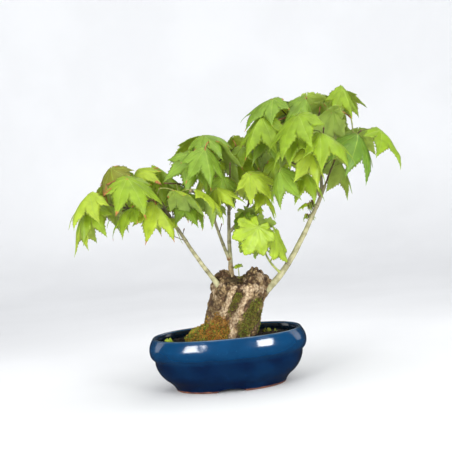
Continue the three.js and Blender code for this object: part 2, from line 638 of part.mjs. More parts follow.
// The origin lies under the middle of the whole plant, on the surface that it stands on.
const bounds = new THREE.Box3().setFromObject(plant);
const middle = bounds.getCenter(new THREE.Vector3());
plant.position.set(-middle.x, -middle.y, -bounds.min.z);
plant.name = "maple_bonsai";

export default plant;
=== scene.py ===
# %% [markdown]
# # A maple bonsai in a blue pot
# This lesson dresses a small potted maple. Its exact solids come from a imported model, which we load
# first and never move. Every piece that we make here takes the place of one or more of those solids,
# in the same frame: metres, +Z up, and -Y towards the viewer.

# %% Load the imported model
import math
from collections import Counter

import bmesh
import bpy
import numpy as np
from mathutils import Matrix, Vector, noise


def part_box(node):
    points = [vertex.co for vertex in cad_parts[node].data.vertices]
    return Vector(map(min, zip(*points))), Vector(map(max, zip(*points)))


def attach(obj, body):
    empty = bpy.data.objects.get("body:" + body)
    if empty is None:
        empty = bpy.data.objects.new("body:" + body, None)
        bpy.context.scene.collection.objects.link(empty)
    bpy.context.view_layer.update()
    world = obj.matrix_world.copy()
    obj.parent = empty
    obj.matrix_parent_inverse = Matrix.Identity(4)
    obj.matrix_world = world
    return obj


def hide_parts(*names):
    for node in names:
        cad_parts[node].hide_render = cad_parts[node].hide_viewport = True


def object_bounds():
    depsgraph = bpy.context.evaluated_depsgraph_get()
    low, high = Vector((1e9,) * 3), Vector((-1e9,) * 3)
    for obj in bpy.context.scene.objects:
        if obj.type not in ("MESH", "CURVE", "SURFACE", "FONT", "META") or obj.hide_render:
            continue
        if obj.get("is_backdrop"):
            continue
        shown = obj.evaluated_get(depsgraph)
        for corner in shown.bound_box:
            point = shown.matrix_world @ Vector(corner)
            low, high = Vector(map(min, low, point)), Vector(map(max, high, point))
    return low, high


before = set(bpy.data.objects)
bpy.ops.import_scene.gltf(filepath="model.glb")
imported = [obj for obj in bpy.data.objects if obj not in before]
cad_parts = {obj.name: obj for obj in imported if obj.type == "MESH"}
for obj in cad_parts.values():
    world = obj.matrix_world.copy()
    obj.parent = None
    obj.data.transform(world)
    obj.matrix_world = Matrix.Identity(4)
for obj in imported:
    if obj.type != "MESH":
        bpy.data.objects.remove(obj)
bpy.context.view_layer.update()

# %% [markdown]
# The plant was measured in millimetres from the middle of the pot's underside, so we keep that: all
# numbers below are millimetres from there, and one function takes them to the frame. The pot's own
# box says where its middle is.

# %% Millimetres from the pot's middle
MM = 0.001
pot_low, pot_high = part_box("pot")
POT_MIDDLE = np.array([(pot_low.x + pot_high.x) / 2, (pot_low.y + pot_high.y) / 2, 0])


def to_frame(points):
    return np.asarray(points, float) * MM + POT_MIDDLE


def smooth(x, low, high):
    """0 below low, 1 above high, and an eased rise between them."""
    t = np.clip((np.asarray(x, float) - low) / (high - low), 0, 1)
    return t * t * (3 - 2 * t)


def mix(a, b, share):
    return a + (b - a) * share


def sin_cos(degrees):
    return math.sin(math.radians(degrees)), math.cos(math.radians(degrees))


def span(a, b):
    """How far b lies from a."""
    return math.sqrt(float((b - a) @ (b - a)))


def in_scene(name, data):
    """A new object that shows in the scene."""
    made = bpy.data.objects.new(name, data)
    bpy.context.scene.collection.objects.link(made)
    return made


print("the pot's middle lies at", POT_MIDDLE.round(4))

# %% [markdown]
# The photograph looks level at the plant from about three quarters of a metre, and the whole plant
# is tipped by five degrees in it. Ours stands upright, so the camera rolls instead. Its three axes go
# straight into its matrix, which is clearer than a chain of turns.

# %% Camera
PHOTO_SIDE, FOCAL_PIXELS, SENSOR = 452, 760, 36
ROLL = 5.3
EYE = (9.2, -776, 161.2)

camera = in_scene("camera", bpy.data.cameras.new("camera"))
bpy.context.scene.camera = camera
camera.data.sensor_width = SENSOR
camera.data.lens = SENSOR * FOCAL_PIXELS / PHOTO_SIDE
camera.data.clip_start, camera.data.clip_end = 0.01, 30
rolled, level = sin_cos(ROLL)
right, up = Vector((level, 0, -rolled)), Vector((rolled, 0, level))
axes = Matrix((right, up, right.cross(up))).transposed().to_4x4()
camera.matrix_world = Matrix.Translation(to_frame(EYE)) @ axes
print("lens", round(camera.data.lens, 1), "mm")

# %% [markdown]
# Every piece is a mesh, most of them joined from many small parts. A small collector takes the parts'
# points and faces, keeps a number for each face's finish and values for each point, and turns them
# into one object at the end.

# %% A collector for meshes


class Parts:
    """Points in millimetres, faces, a finish number for each face, and named values for each point."""

    def __init__(self):
        self.points, self.faces, self.finishes, self.values, self.count = [], [], [], {}, 0

    def add(self, points, faces, finish=0, **values):
        self.faces += [tuple(i + self.count for i in face) for face in faces]
        self.finishes += [finish] * len(faces) if np.isscalar(finish) else list(finish)
        self.points.append(np.asarray(points, float))
        self.count += len(points)
        for name, value in values.items():
            self.values.setdefault(name, []).append(np.broadcast_to(value, len(points)))

    def make(self, name, materials, flat=False):
        mesh = bpy.data.meshes.new(name)
        mesh.from_pydata(to_frame(np.concatenate(self.points)).tolist(), [], self.faces)
        for material in materials:
            mesh.materials.append(material)
        mesh.polygons.foreach_set("material_index", np.array(self.finishes, np.int32))
        for key, rows in self.values.items():
            mesh.attributes.new(key, "FLOAT", "POINT").data.foreach_set(
                "value", np.concatenate(rows).astype(np.float32))
        if not flat:
            mesh.polygons.foreach_set("use_smooth", np.ones(len(self.faces), bool))
        mesh.update()
        return in_scene(name, mesh)


def triangles(piece):
    return sum(len(face.vertices) - 2 for face in piece.data.polygons)


def settle(piece, slot, *nodes):
    """Rides on the plant's one body and stands for its solids. The slot is not used."""
    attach(piece, "root")
    if nodes:
        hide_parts(*nodes)
    print(f"{piece.name}: {triangles(piece)} triangles, stands for {len(nodes)} solids")
    return piece


# %% [markdown]
# Turned and swept shapes are both rings of points joined by quads. This helper gives the faces for
# rings that close on themselves, with the first and last ring shut by a fan round a middle point, so
# that the mesh has no open edge. Two more helpers serve every piece: a smooth line through a few given
# points, and noise with lumps of a size in millimetres, which roughens whatever is too even.

# %% Rings, smooth lines and noise


def ring_faces(rings, around):
    """Ring 0's middle is the point after the rings, and the last ring's middle is the one after it."""
    faces = []
    for row in range(rings - 1):
        for k in range(around):
            a, b = row * around + k, row * around + (k + 1) % around
            faces.append((a, b, b + around, a + around))
    first, last, top = rings * around, rings * around + 1, (rings - 1) * around
    for k in range(around):
        faces.append((first, (k + 1) % around, k))
        faces.append((last, top + k, top + (k + 1) % around))
    return faces


def spline(points, steps):
    """A smooth line through points, with steps of its own between each two of them."""
    points = np.asarray(points, float)
    reach = np.maximum(np.linalg.norm(np.diff(points, axis=0), axis=1), 1e-6)
    slopes = np.diff(points, axis=0) / reach[:, None]
    tangents = np.concatenate([slopes[:1], (slopes[1:] * reach[:-1, None] + slopes[:-1] * reach[1:, None])
                               / (reach[1:] + reach[:-1])[:, None], slopes[-1:]])
    rows = []
    for i in range(len(points) - 1):
        for t in np.arange(steps) / steps:
            rows.append(points[i] * (1 + 2 * t) * (1 - t) ** 2 + points[i + 1] * t * t * (3 - 2 * t)
                        + reach[i] * (tangents[i] * t * (1 - t) ** 2 - tangents[i + 1] * t * t * (1 - t)))
    return np.array(rows + [points[-1]])


def rough(points, size, octaves=3, shift=0.0):
    """Fractal noise of about -1 to 1, with lumps of a size in millimetres."""
    move = Vector((shift, 2 * shift, -shift))
    return np.array([noise.fractal(Vector(p) / size + move, 1.0, 2.0, octaves) for p in points])


def push(points, size, shifts):
    """Three noises for each point, one along each axis."""
    return np.stack([rough(points, size, 2, shift) for shift in shifts], -1)


print("three rings of eight points close with", len(ring_faces(3, 8)), "faces")

# %% [markdown]
# Colours are easiest to name as the eye sees them, from 0 to 255, while Blender's nodes work with
# light, so we convert. Node trees are built in code by a few tiny helpers: one places any node, and
# the others place the five kinds that nearly every finish here needs.

# %% Colour and node helpers
BLACK, WHITE = (0.0, 0.0, 0.0, 1.0), (1.0, 1.0, 1.0, 1.0)


def rgb(red, green, blue):
    return tuple((c / 255 / 12.92 if c <= 10 else ((c / 255 + 0.055) / 1.055) ** 2.4)
                 for c in (red, green, blue)) + (1.0,)


def node(tree, kind, inputs=None, **settings):
    made = tree.nodes.new(kind)
    for name, value in settings.items():
        setattr(made, name, value)
    for name, value in (inputs or {}).items():
        socket = made.inputs[name]
        if isinstance(value, bpy.types.NodeSocket):
            tree.links.new(value, socket)
        else:
            socket.default_value = value
    return made


def calc(tree, operation, *numbers):
    return node(tree, "ShaderNodeMath", dict(enumerate(numbers)), operation=operation).outputs[0]


def ranged(tree, value, low=0.0, high=1.0, start=0.0, end=1.0, easing="SMOOTHSTEP"):
    """Takes a value that runs from low to high, and lets it run from start to end."""
    inputs = {"Value": value, "From Min": low, "From Max": high, "To Min": start, "To Max": end}
    return node(tree, "ShaderNodeMapRange", inputs, interpolation_type=easing).outputs[0]


def layer(tree, under, over, share):
    return node(tree, "ShaderNodeMix", {0: share, 6: under, 7: over}, data_type="RGBA").outputs[2]


def stored(tree, name):
    """A value that a piece keeps at its points."""
    return node(tree, "ShaderNodeAttribute", attribute_name=name).outputs["Fac"]


def own_place(tree):
    return node(tree, "ShaderNodeTexCoord").outputs["Object"]


def shader(name, roughness=0.6, **sockets):
    """A new material with one Principled shader, and plain values on its own sockets."""
    material = bpy.data.materials.new(name)
    material.use_nodes = True
    principled = material.node_tree.nodes["Principled BSDF"]
    principled.inputs["Roughness"].default_value = roughness
    for key, value in sockets.items():
        principled.inputs[key.replace("_", " ")].default_value = value
    return material, material.node_tree, principled


def bump(tree, principled, height, distance, strength=1.0):
    """Relief from a height, of a distance in millimetres."""
    made = node(tree, "ShaderNodeBump", {"Height": height, "Distance": distance * MM, "Strength": strength})
    tree.links.new(made.outputs["Normal"], principled.inputs["Normal"])


print("a mid grey of 128 is", round(rgb(128, 128, 128)[0], 3), "as light")

# %% [markdown]
# Soil, bark, moss and leaves all need the same thing: two colours that run into each other in soft
# patches. That is one shader group, Mottle, which every material places with its own colours and
# patch size. It reads Object coordinates, so nothing slides when a piece moves. Plain finishes place
# it twice, for colour and for relief, and bark lays several of it over each other.

# %% The Mottle group
MOTTLE_INPUTS = {"Dark": ("Color", BLACK), "Light": ("Color", WHITE), "Size": ("Float", 0.01),
                 "Low": ("Float", 0.35), "High": ("Float", 0.65), "Detail": ("Float", 3.0)}
mottle = bpy.data.node_groups.new("Mottle", "ShaderNodeTree")
for key, (kind, default) in MOTTLE_INPUTS.items():
    given = mottle.interface.new_socket(key, in_out="INPUT", socket_type=f"NodeSocket{kind}")
    given.default_value = default
for key, kind in (("Colour", "Color"), ("Height", "Float")):
    mottle.interface.new_socket(key, in_out="OUTPUT", socket_type=f"NodeSocket{kind}")
given = node(mottle, "NodeGroupInput").outputs
cloud = node(mottle, "ShaderNodeTexNoise", {
    "Vector": own_place(mottle), "Scale": calc(mottle, "DIVIDE", 1.0, given["Size"]),
    "Detail": given["Detail"]})
height = cloud.outputs["Fac"]
blend = layer(mottle, given["Dark"], given["Light"], ranged(mottle, height, given["Low"], given["High"]))
node(mottle, "NodeGroupOutput", {"Colour": blend, "Height": height})


def mottled(tree, dark, light, size, low=0.35, high=0.65, detail=3.0):
    """Places the Mottle group, with its patch size in millimetres, and returns its outputs."""
    inputs = {"Dark": dark, "Light": light, "Size": size * MM, "Low": low, "High": high, "Detail": detail}
    return node(tree, "ShaderNodeGroup", inputs, node_tree=mottle).outputs


def patches(tree, size, low=0.35, high=0.65, detail=3.0):
    return mottled(tree, BLACK, WHITE, size, low, high, detail)


def layered(tree, principled, *rows):
    """Paints mottled colours over each other. Each row is dark, light, patch size, detail and share."""
    colour = None
    for dark, light, size, detail, share in rows:
        over = mottled(tree, rgb(*dark), rgb(*light), size, detail=detail)["Colour"]
        colour = over if share is None else layer(tree, colour, over, share)
    tree.links.new(colour, principled.inputs["Base Color"])


def two_tone(name, dark, light, size, grain, depth, roughness=0.6):
    """Two colours in patches, with a finer grain of its own as relief. Sizes are millimetres."""
    material, tree, principled = shader(name, roughness)
    tree.links.new(mottled(tree, dark, light, size)["Colour"], principled.inputs["Base Color"])
    bump(tree, principled, patches(tree, grain, detail=4.0)["Height"], depth)
    return material


def plain_finish(name, dark, light, *rest):
    return two_tone(name, rgb(*dark), rgb(*light), *rest)


print("the Mottle group takes", ", ".join(MOTTLE_INPUTS))

# %% [markdown]
# ## The pot
# The pot is thrown stoneware, pressed to an oval and dipped in a deep blue glaze. Its solid has few
# facets. We turn the same profile again as a smooth line with many more rings, narrow it across, and
# lift the foot over its four low arches. A slow ripple of a fifth of a millimetre is what makes the
# reflections in real glaze waver.

# %% The pot's shape
POT_HEIGHT = 54.3
FOOT_RATIO, RIM_RATIO, OVAL_POWER = 0.7, 0.75, 2.25
# Profiles are rows of a radius along the pot's length and a height.
FOOT_PROFILE = [(0, 4.6), (24, 4.6), (48.5, 4.6), (50, 0.3), (50.6, 0), (55, 0), (56, 0.6)]
POT_OUTSIDE = [(56, 0.6), (57, 3), (60, 7), (67, 13), (72.8, 21), (75, 28.5), (75.3, 31.5), (78.4, 35),
               (80, 41), (79.2, 47), (77.2, 51.5), (75, 54.3), (72.2, 53.9), (70.6, 51), (71.6, 44.5),
               (69, 27), (50, 10)]
POT_FLOOR = [(25, 10), (0, 10)]
ARCH_HEIGHT, SIDE_ARCH_HALF, END_ARCH_HALF, FOOT_FROM = 3.6, 14, 9, 30
POT_AROUND, POT_STEPS, INNER_STRETCHES = 200, 7, 4
RIPPLE, RIPPLE_SIZE = 0.3 / 70, 14
LIP_RADIUS, LIP_Z, LIP_WIDE, LIP_PATCH = 74.2, 54.3, 1.5, 9


def oval(radius, z, angle):
    """A point of the pot's rounded oval, for a radius along its length."""
    c, s = np.cos(angle), np.sin(angle)
    stretch = (np.abs(c) ** OVAL_POWER + np.abs(s) ** OVAL_POWER) ** (-1 / OVAL_POWER)
    ratio = mix(FOOT_RATIO, RIM_RATIO, np.asarray(z) / POT_HEIGHT)
    return np.stack([radius * stretch * c, radius * stretch * s * ratio, z + 0 * c], -1)


def arch(across, half):
    return ARCH_HEIGHT * np.sqrt(np.clip(1 - (across / half) ** 2, 0, 1))


def turned(profile, around):
    """Rings of an oval turning, from the middle of its underside to the middle of its floor."""
    angles = np.arange(around) / around * 2 * math.pi
    rings = np.concatenate([oval(r, z, angles) for r, z in profile[1:-1]])
    ends = [[0, 0, profile[0][1]], [0, 0, profile[-1][1]]]
    return np.concatenate([rings, ends]), ring_faces(len(profile) - 2, around)


pot_profile = [*FOOT_PROFILE[:-1], *spline(POT_OUTSIDE, POT_STEPS), *POT_FLOOR]
pot_points, pot_faces = turned(pot_profile, POT_AROUND)
foot = np.maximum(arch(pot_points[:, 0], SIDE_ARCH_HALF), arch(pot_points[:, 1], END_ARCH_HALF))
ring = np.hypot(pot_points[:, 0], pot_points[:, 1] / FOOT_RATIO) > FOOT_FROM
pot_points[:, 2] = np.where(ring, np.maximum(pot_points[:, 2], foot), pot_points[:, 2])
swell = 1 + RIPPLE * rough(pot_points, RIPPLE_SIZE, 2)
pot_points[:, :2] *= swell[:, None]
ring_rows = pot_profile[1:-1]
inner_rings = len(ring_rows) - INNER_STRETCHES * POT_STEPS
# The inside value marks the inner wall, which the glaze paints darker as shade.
inside = np.append(np.repeat(np.arange(len(ring_rows)) > inner_rings, POT_AROUND), [0, 1])
# The lip value marks a thin line along the rim's top edge, painted pale: partly the glaze thinning there,
# partly painted sheen.
lip_off = np.hypot(*np.transpose([(r - LIP_RADIUS, z - LIP_Z) for r, z in ring_rows]))
lip = np.append(np.repeat(np.exp(-(lip_off / LIP_WIDE) ** 2), POT_AROUND), [0, 0])
pot_parts = Parts()
pot_parts.add(pot_points, pot_faces, inside=inside * 1.0,
              lip=lip * (0.8 + 0.5 * rough(pot_points, LIP_PATCH, 2, 4)))
print("pot points:", len(pot_points))

# %% [markdown]
# The glaze's colour goes with height, broken up by noise. Painted shade darkens the lower body and the
# groove under the band, and the band and rim are brighter, partly as painted light and partly where the
# glaze thins over the edges. The inside wall is painted darker as shade, and a pale line along the rim's
# top edge is partly thin glaze and partly painted sheen. The glaze stops short of the foot in a wavy line
# and leaves bare clay, which is rough. One noisy height decides both colour and roughness.

# %% Glaze
# The darkest glaze colour is what the painted shade low on the pot runs to.
GLAZE_DEEP_AND_SHADE, GLAZE_BLUE, GLAZE_PALE = rgb(0, 12, 45), rgb(6, 61, 101), rgb(44, 106, 150)
# Painted shade for the inside wall, and a pale rim edge that is partly thin glaze, partly painted sheen.
GLAZE_INSIDE_SHADE, GLAZE_BREAK_AND_SHEEN = rgb(8, 30, 46), rgb(96, 118, 130)
CLAY_DARK, CLAY_LIGHT = rgb(96, 52, 34), rgb(150, 92, 62)
# Shares of the pot's height, and how bright the glaze is painted there: painted shade on the lower body
# and in the groove under the band, and a brighter band and rim, partly painted light and partly thin glaze.
GLAZE_LIGHT_AND_SHADE = ((0.0, 0.0), (0.16, 0.08), (0.36, 0.2), (0.54, 0.06), (0.64, 0.6), (0.8, 0.95), (1.0, 1.0))
STREAK_SHARE, SPECK_SHARE = 0.26, 0.35
CLAY_LINE, CLAY_RAGGED = (1.4, 2.2), 1.6
CLAY_ROUGH, GLAZE_ROUGH = 0.85, 0.16

glaze, tree, principled = shader("deep_blue_glaze", 0.08, IOR=1.6, Coat_Weight=1.0, Coat_Roughness=0.1)
height = node(tree, "ShaderNodeSeparateXYZ", {0: own_place(tree)}).outputs["Z"]
# A ramp by height paints shade on the lower body and in the groove, and light on the band and rim.
light_and_shade_ramp = node(tree, "ShaderNodeValToRGB", {"Fac": ranged(tree, height, high=POT_HEIGHT * MM, easing="LINEAR")})
while len(light_and_shade_ramp.color_ramp.elements) < len(GLAZE_LIGHT_AND_SHADE):
    light_and_shade_ramp.color_ramp.elements.new(0.5)
for element, (stop, bright) in zip(light_and_shade_ramp.color_ramp.elements, GLAZE_LIGHT_AND_SHADE):
    element.position = stop
    element.color = (bright, bright, bright, 1)
cloud_light_and_shade = layer(tree, light_and_shade_ramp.outputs[0], patches(tree, 22, 0.3, 0.7, 6)["Colour"], STREAK_SHARE)
colour = layer(tree, GLAZE_DEEP_AND_SHADE, GLAZE_BLUE, cloud_light_and_shade)
specks = calc(tree, "MULTIPLY", patches(tree, 1.6, 0.66, 0.8, 2)["Colour"], SPECK_SHARE)
colour = layer(tree, colour, GLAZE_PALE, specks)
# Painted shade: the inside wall is darker.
colour = layer(tree, colour, GLAZE_INSIDE_SHADE, stored(tree, "inside"))
# The rim's pale edge: partly thin glaze, partly painted sheen.
colour = layer(tree, colour, GLAZE_BREAK_AND_SHEEN, stored(tree, "lip"))
edge = calc(tree, "MULTIPLY_ADD", patches(tree, 9, detail=4)["Height"], -CLAY_RAGGED * MM, height)
glazed = ranged(tree, edge, *((z - CLAY_RAGGED / 2) * MM for z in CLAY_LINE), easing="LINEAR")
clay = mottled(tree, CLAY_DARK, CLAY_LIGHT, 5, detail=6)["Colour"]
tree.links.new(layer(tree, clay, colour, glazed), principled.inputs["Base Color"])
gloss = ranged(tree, glazed, start=CLAY_ROUGH, end=GLAZE_ROUGH, easing="LINEAR")
tree.links.new(gloss, principled.inputs["Roughness"])
bump(tree, principled, patches(tree, 6, detail=2)["Height"], 0.3, 0.5)
settle(pot_parts.make("glazed_pot", [glaze]), "glaze", "pot")

# %% [markdown]
# ## The soil
# The bed is dark, crumbly and a little hollow towards the wall. A closed form with bumps is enough
# for its body, because loose grains will lie on it.

# %% The soil bed
BED_Z, BED_LENGTH, BED_FALL, SOIL_EDGE_Z = 48, 50, 70, 45.5
SOIL_AROUND, SOIL_ROWS = 144, 44
SOIL_SIDE = [(0, 10.5), (30, 10.5), (49.4, 10.5), (68.2, 27), (70.6, 44.2), (70.4, SOIL_EDGE_Z)]
SOIL_LUMPS = ((11, 0.9), (3, 0.4))
soil_top = [(r, mix(BED_Z, SOIL_EDGE_Z, float(smooth(r, BED_LENGTH, BED_FALL))))
            for r in np.linspace(69.5, 0, SOIL_ROWS)]
soil_points, soil_faces = turned([*SOIL_SIDE, *soil_top], SOIL_AROUND)
on_top = soil_points[:, 2] > SOIL_EDGE_Z - 0.1
inward = 1 - smooth(np.hypot(soil_points[:, 0], soil_points[:, 1] / RIM_RATIO), 60, BED_FALL)
for size, amount in SOIL_LUMPS:
    soil_points[:, 2] += on_top * (0.3 + 0.7 * inward) * amount * rough(soil_points, size, 3, size)
soil_parts = Parts()
soil_parts.add(soil_points, soil_faces, top=on_top * 1.0)
soil_finish = plain_finish("dark_soil", (12, 9, 7), (36, 27, 19), 4, 1.2, 0.6, 0.95)
soil_bed = settle(soil_parts.make("soil_bed", [soil_finish]), "soil", "soil")

# %% [markdown]
# Grains, moss and other small things are scattered by one Geometry Nodes tree. It spreads points over
# a surface where a named value is high, sets a copy of a small object on each, leans, spins and
# scales it, and then makes all copies real, because only real meshes leave Blender.

# %% A scattering tree
SCATTER_INPUTS = {"Surface": "Geometry", "Grain": "Object", "Where": "String", "Density": "Float",
                  "Least": "Float", "Greatest": "Float", "Lean": "Float", "Seed": "Int", "Finish": "Material"}
scatter = bpy.data.node_groups.new("Scatter", "GeometryNodeTree")
for key, kind in SCATTER_INPUTS.items():
    scatter.interface.new_socket(key, in_out="INPUT", socket_type=f"NodeSocket{kind}")
scatter.interface.new_socket("Geometry", in_out="OUTPUT", socket_type="NodeSocketGeometry")
given = node(scatter, "NodeGroupInput").outputs
where = node(scatter, "GeometryNodeInputNamedAttribute", {"Name": given["Where"]}, data_type="FLOAT")
density = calc(scatter, "MULTIPLY", where.outputs[0], given["Density"])
points = node(scatter, "GeometryNodeDistributePointsOnFaces",
              {"Mesh": given["Surface"], "Density": density, "Seed": given["Seed"]})
lean_low = calc(scatter, "MULTIPLY", given["Lean"], -1.0)
low = node(scatter, "ShaderNodeCombineXYZ", {0: lean_low, 1: lean_low}).outputs[0]
high = node(scatter, "ShaderNodeCombineXYZ", {0: given["Lean"], 1: given["Lean"], 2: 2 * math.pi}).outputs[0]
turn = node(scatter, "FunctionNodeRandomValue", {0: low, 1: high, "Seed": given["Seed"]},
            data_type="FLOAT_VECTOR").outputs[0]
euler = node(scatter, "FunctionNodeEulerToRotation", {0: turn}).outputs[0]
turned_by = node(scatter, "FunctionNodeRotateRotation", {0: points.outputs["Rotation"], 1: euler},
                 rotation_space="LOCAL").outputs[0]
grown = node(scatter, "FunctionNodeRandomValue", {2: given["Least"], 3: given["Greatest"],
                                                  "Seed": given["Seed"]}, data_type="FLOAT").outputs[1]
grain = node(scatter, "GeometryNodeObjectInfo", {"Object": given["Grain"]}).outputs["Geometry"]
copies = node(scatter, "GeometryNodeInstanceOnPoints", {"Points": points.outputs[0], "Instance": grain,
                                                        "Rotation": turned_by, "Scale": grown}).outputs[0]
real = node(scatter, "GeometryNodeRealizeInstances", {0: copies}).outputs[0]
dressed = node(scatter, "GeometryNodeSetMaterial", {"Geometry": real, "Material": given["Finish"]}).outputs[0]
node(scatter, "NodeGroupOutput", {0: dressed})


def scattered(name, surface, slot, **inputs):
    """Runs the tree over a copy of a surface and keeps what it made as a plain mesh."""
    carrier = in_scene("carrier", surface.data.copy())
    modifier = carrier.modifiers.new("scatter", "NODES")
    modifier.node_group = scatter
    for item in scatter.interface.items_tree:
        if item.in_out == "INPUT" and item.name in inputs:
            modifier[item.identifier] = inputs[item.name]
    ready = carrier.evaluated_get(bpy.context.evaluated_depsgraph_get())
    mesh = bpy.data.meshes.new_from_object(ready)
    for key in [a.name for a in mesh.attributes if not a.is_internal and not a.is_required]:
        if key not in ("material_index", "sharp_face", "sharp_edge"):
            mesh.attributes.remove(mesh.attributes[key])
    bpy.data.objects.remove(carrier)
    return settle(in_scene(name, mesh), slot)


print("the scattering tree takes", ", ".join(SCATTER_INPUTS))

# %% [markdown]
# A grain is a ball of twenty faces with its corners pushed about, so each one shows flat broken
# sides. Two sizes and two colours, dealt out over the bed, look like a real gritty mix. The grain
# that gets copied is never linked to the scene, so it doesn't show by itself.

# %% Grains on the bed
BROKEN, BROKEN_NOISE = 0.45, 1700
# Each grit: name, dark and light colour, seed, flatness, how dense, largest size and seed of the spread.
GRITS = (("dark_grains", (14, 11, 8), (46, 35, 26), 1.0, 0.8, 2.6e5, 1.5, 3),
         ("pale_grains", (54, 43, 32), (96, 78, 58), 5.0, 0.7, 1.4e4, 1.3, 8))


def broken_grain(name, seed, flatness):
    ball = bmesh.new()
    bmesh.ops.create_icosphere(ball, subdivisions=1, radius=MM)
    for corner in ball.verts:
        corner.co *= 1 + BROKEN * noise.noise(corner.co * BROKEN_NOISE + Vector((seed, 0, 0)))
        corner.co.z *= flatness
    mesh = bpy.data.meshes.new(name)
    ball.to_mesh(mesh)
    ball.free()
    return bpy.data.objects.new(name, mesh)


for name, dark, light, seed, flatness, dense, largest, spread in GRITS:
    grit = plain_finish(name.replace("grains", "grit"), dark, light, 3, 0.7, 0.3, 0.9)
    scattered(name, soil_bed, "soil", Grain=broken_grain(f"one_of_{name}", seed, flatness), Where="top",
              Density=dense, Least=0.5, Greatest=largest, Lean=1.2, Seed=spread, Finish=grit)

# %% [markdown]
# ## The stump
# The trunk is an old stump, as thick as it is tall, with two knobs where large boughs were once
# sawn off. Its outline follows the solid's own rule: a middle line and half-widths up its height,
# ridges that twist round it, and knobs on its crown. Here it gets many more points, and bark is cut
# into it in three sizes: broken plates, crags and fine grain.

# %% The stump's outline
STUMP_FOOT_Z, STUMP_TOP_Z = 47.4, 109.5
STUMP_MIDDLE_X = [-1.5, 5.5, 9, 13, 16.5, 18]
STUMP_HALF_X = [32, 29.5, 28.5, 28.5, 30, 28.5]
STUMP_HALF_Y = [27, 23.5, 22, 22, 22.5, 20.5]
# Each ridge or hollow: degrees at the foot and crown, its spread, the shares of height that it
# spans, and how far it stands out. Moss grows in some hollows.
STUMP_RELIEF = [
    (272, 304, 12, 0, 0.92, 3.8), (246, 262, 8, 0.22, 0.84, 3), (260, 276, 9, 0.15, 0.8, -4.5, "moss"),
    (305, 330, 14, 0, 0.6, -2.2, "moss"), (232, 236, 16, 0.6, 1, 2.4), (345, 352, 20, 0.6, 0.98, 2.8),
    (200, 214, 10, 0, 0.7, 2.2), (30, 48, 12, 0, 0.9, 3), (62, 76, 9, 0.1, 0.8, -3.2, "moss"),
    (96, 112, 12, 0, 0.85, 3.4), (150, 158, 14, 0, 0.8, 2.6),
]
RIDGE_EDGE, RIDGE_FALL = 0.08, 0.1
# Ripples: waves round the stump, their twist, and how far they stand out.
STUMP_RIPPLES = [(5, 7, 0.5), (9, -5, 0.4)]
# Knobs and dips of the crown: middle, spread and rise.
STUMP_KNOBS = [(0, -2, 9.5, 8.2), (34.5, -3, 9, 8.8), (29, 9, 7, 2.5), (17.5, -12, 7.5, -7.5),
               (14, 12, 7, -3)]
STUMP_EDGE_FALL, CROWN_FROM = 3, 0.7


def ridge_reach(ridge, angle, share):
    """How strongly a ridge counts at an angle and a share of the height, from 0 to 1."""
    foot, crown, spread, low, high = ridge[:5]
    off = np.degrees(angle) - mix(foot, crown, share)
    off -= 360 * np.round(off / 360)
    fall = 1 - smooth(share, high - RIDGE_FALL, high + RIDGE_EDGE)
    return np.exp(-((off / spread) ** 2)) * smooth(share, low - RIDGE_EDGE, low + RIDGE_EDGE) * fall


def along(row, share):
    """Reads a row of values at even steps from 0 to 1, rounded where they turn."""
    fine = spline(np.stack([np.linspace(0, 1, len(row)), row], 1), 12)
    return np.interp(share, fine[:, 0], fine[:, 1])


def stump_point(radius, share, angle):
    relief = sum(out * np.sin(waves * angle + twist * share) for waves, twist, out in STUMP_RIPPLES)
    relief = relief + sum(ridge[5] * ridge_reach(ridge, angle, share) for ridge in STUMP_RELIEF)
    x = along(STUMP_MIDDLE_X, share) + radius * (along(STUMP_HALF_X, share) + relief) * np.cos(angle)
    y = radius * (along(STUMP_HALF_Y, share) + relief) * np.sin(angle)
    rise = sum(k * np.exp(-((x - a) ** 2 + (y - b) ** 2) / c ** 2) for a, b, c, k in STUMP_KNOBS)
    rise = smooth(share, CROWN_FROM, 1) * (rise - STUMP_EDGE_FALL * radius ** 3)
    return np.stack([x, y, mix(STUMP_FOOT_Z, STUMP_TOP_Z, share) + rise], -1)


print("the stump's foot is", round(2 * float(along(STUMP_HALF_X, 0.0))), "mm wide")

# %% [markdown]
# Its mesh is rows of points that run up the side, round the edge and in over the crown. They lie
# half a millimetre or so apart, close enough for the grain of bark.

# %% The stump's points
STUMP_AROUND, STUMP_SIDE_ROWS, STUMP_EDGE_ROWS, STUMP_CROWN_ROWS = 300, 110, 14, 52
SIDE_SHARE, CROWN_SHARE = 0.9, 0.8
# Each row is a share of the radius and one of the height.
arc = np.linspace(0, math.pi / 2, STUMP_EDGE_ROWS)[1:]
rows = [(1, s) for s in np.linspace(0, SIDE_SHARE, STUMP_SIDE_ROWS)]
rows += [(mix(CROWN_SHARE, 1, math.cos(a)), mix(SIDE_SHARE, 1, math.sin(a))) for a in arc]
rows += [(r, 1) for r in np.linspace(CROWN_SHARE, 0, STUMP_CROWN_ROWS)[1:-1]]
row_radius, row_share = np.repeat(rows, STUMP_AROUND, axis=0).T
row_angle = np.tile(np.arange(STUMP_AROUND) / STUMP_AROUND * 2 * math.pi, len(rows))
stump_ends = stump_point(np.zeros(2), np.array([0.0, 1.0]), np.zeros(2))
stump = np.concatenate([stump_point(row_radius, row_share, row_angle), stump_ends])
row_share, row_angle = np.append(row_share, [0, 1]), np.append(row_angle, [0, 0])
print("stump points:", len(stump), "height:", round(float(np.ptp(stump[:, 2])), 1), "mm")

# %% [markdown]
# Bark relief pushes each point along its own normal, which we get from a first mesh. Voronoi cells
# make the cracked plates on the knobs: the crack is where the nearest two cell middles are equally
# far. How deep a point lies is kept as a value, which paints shade into the low places and a paler
# colour on the high ones, partly worn bark and partly painted light.

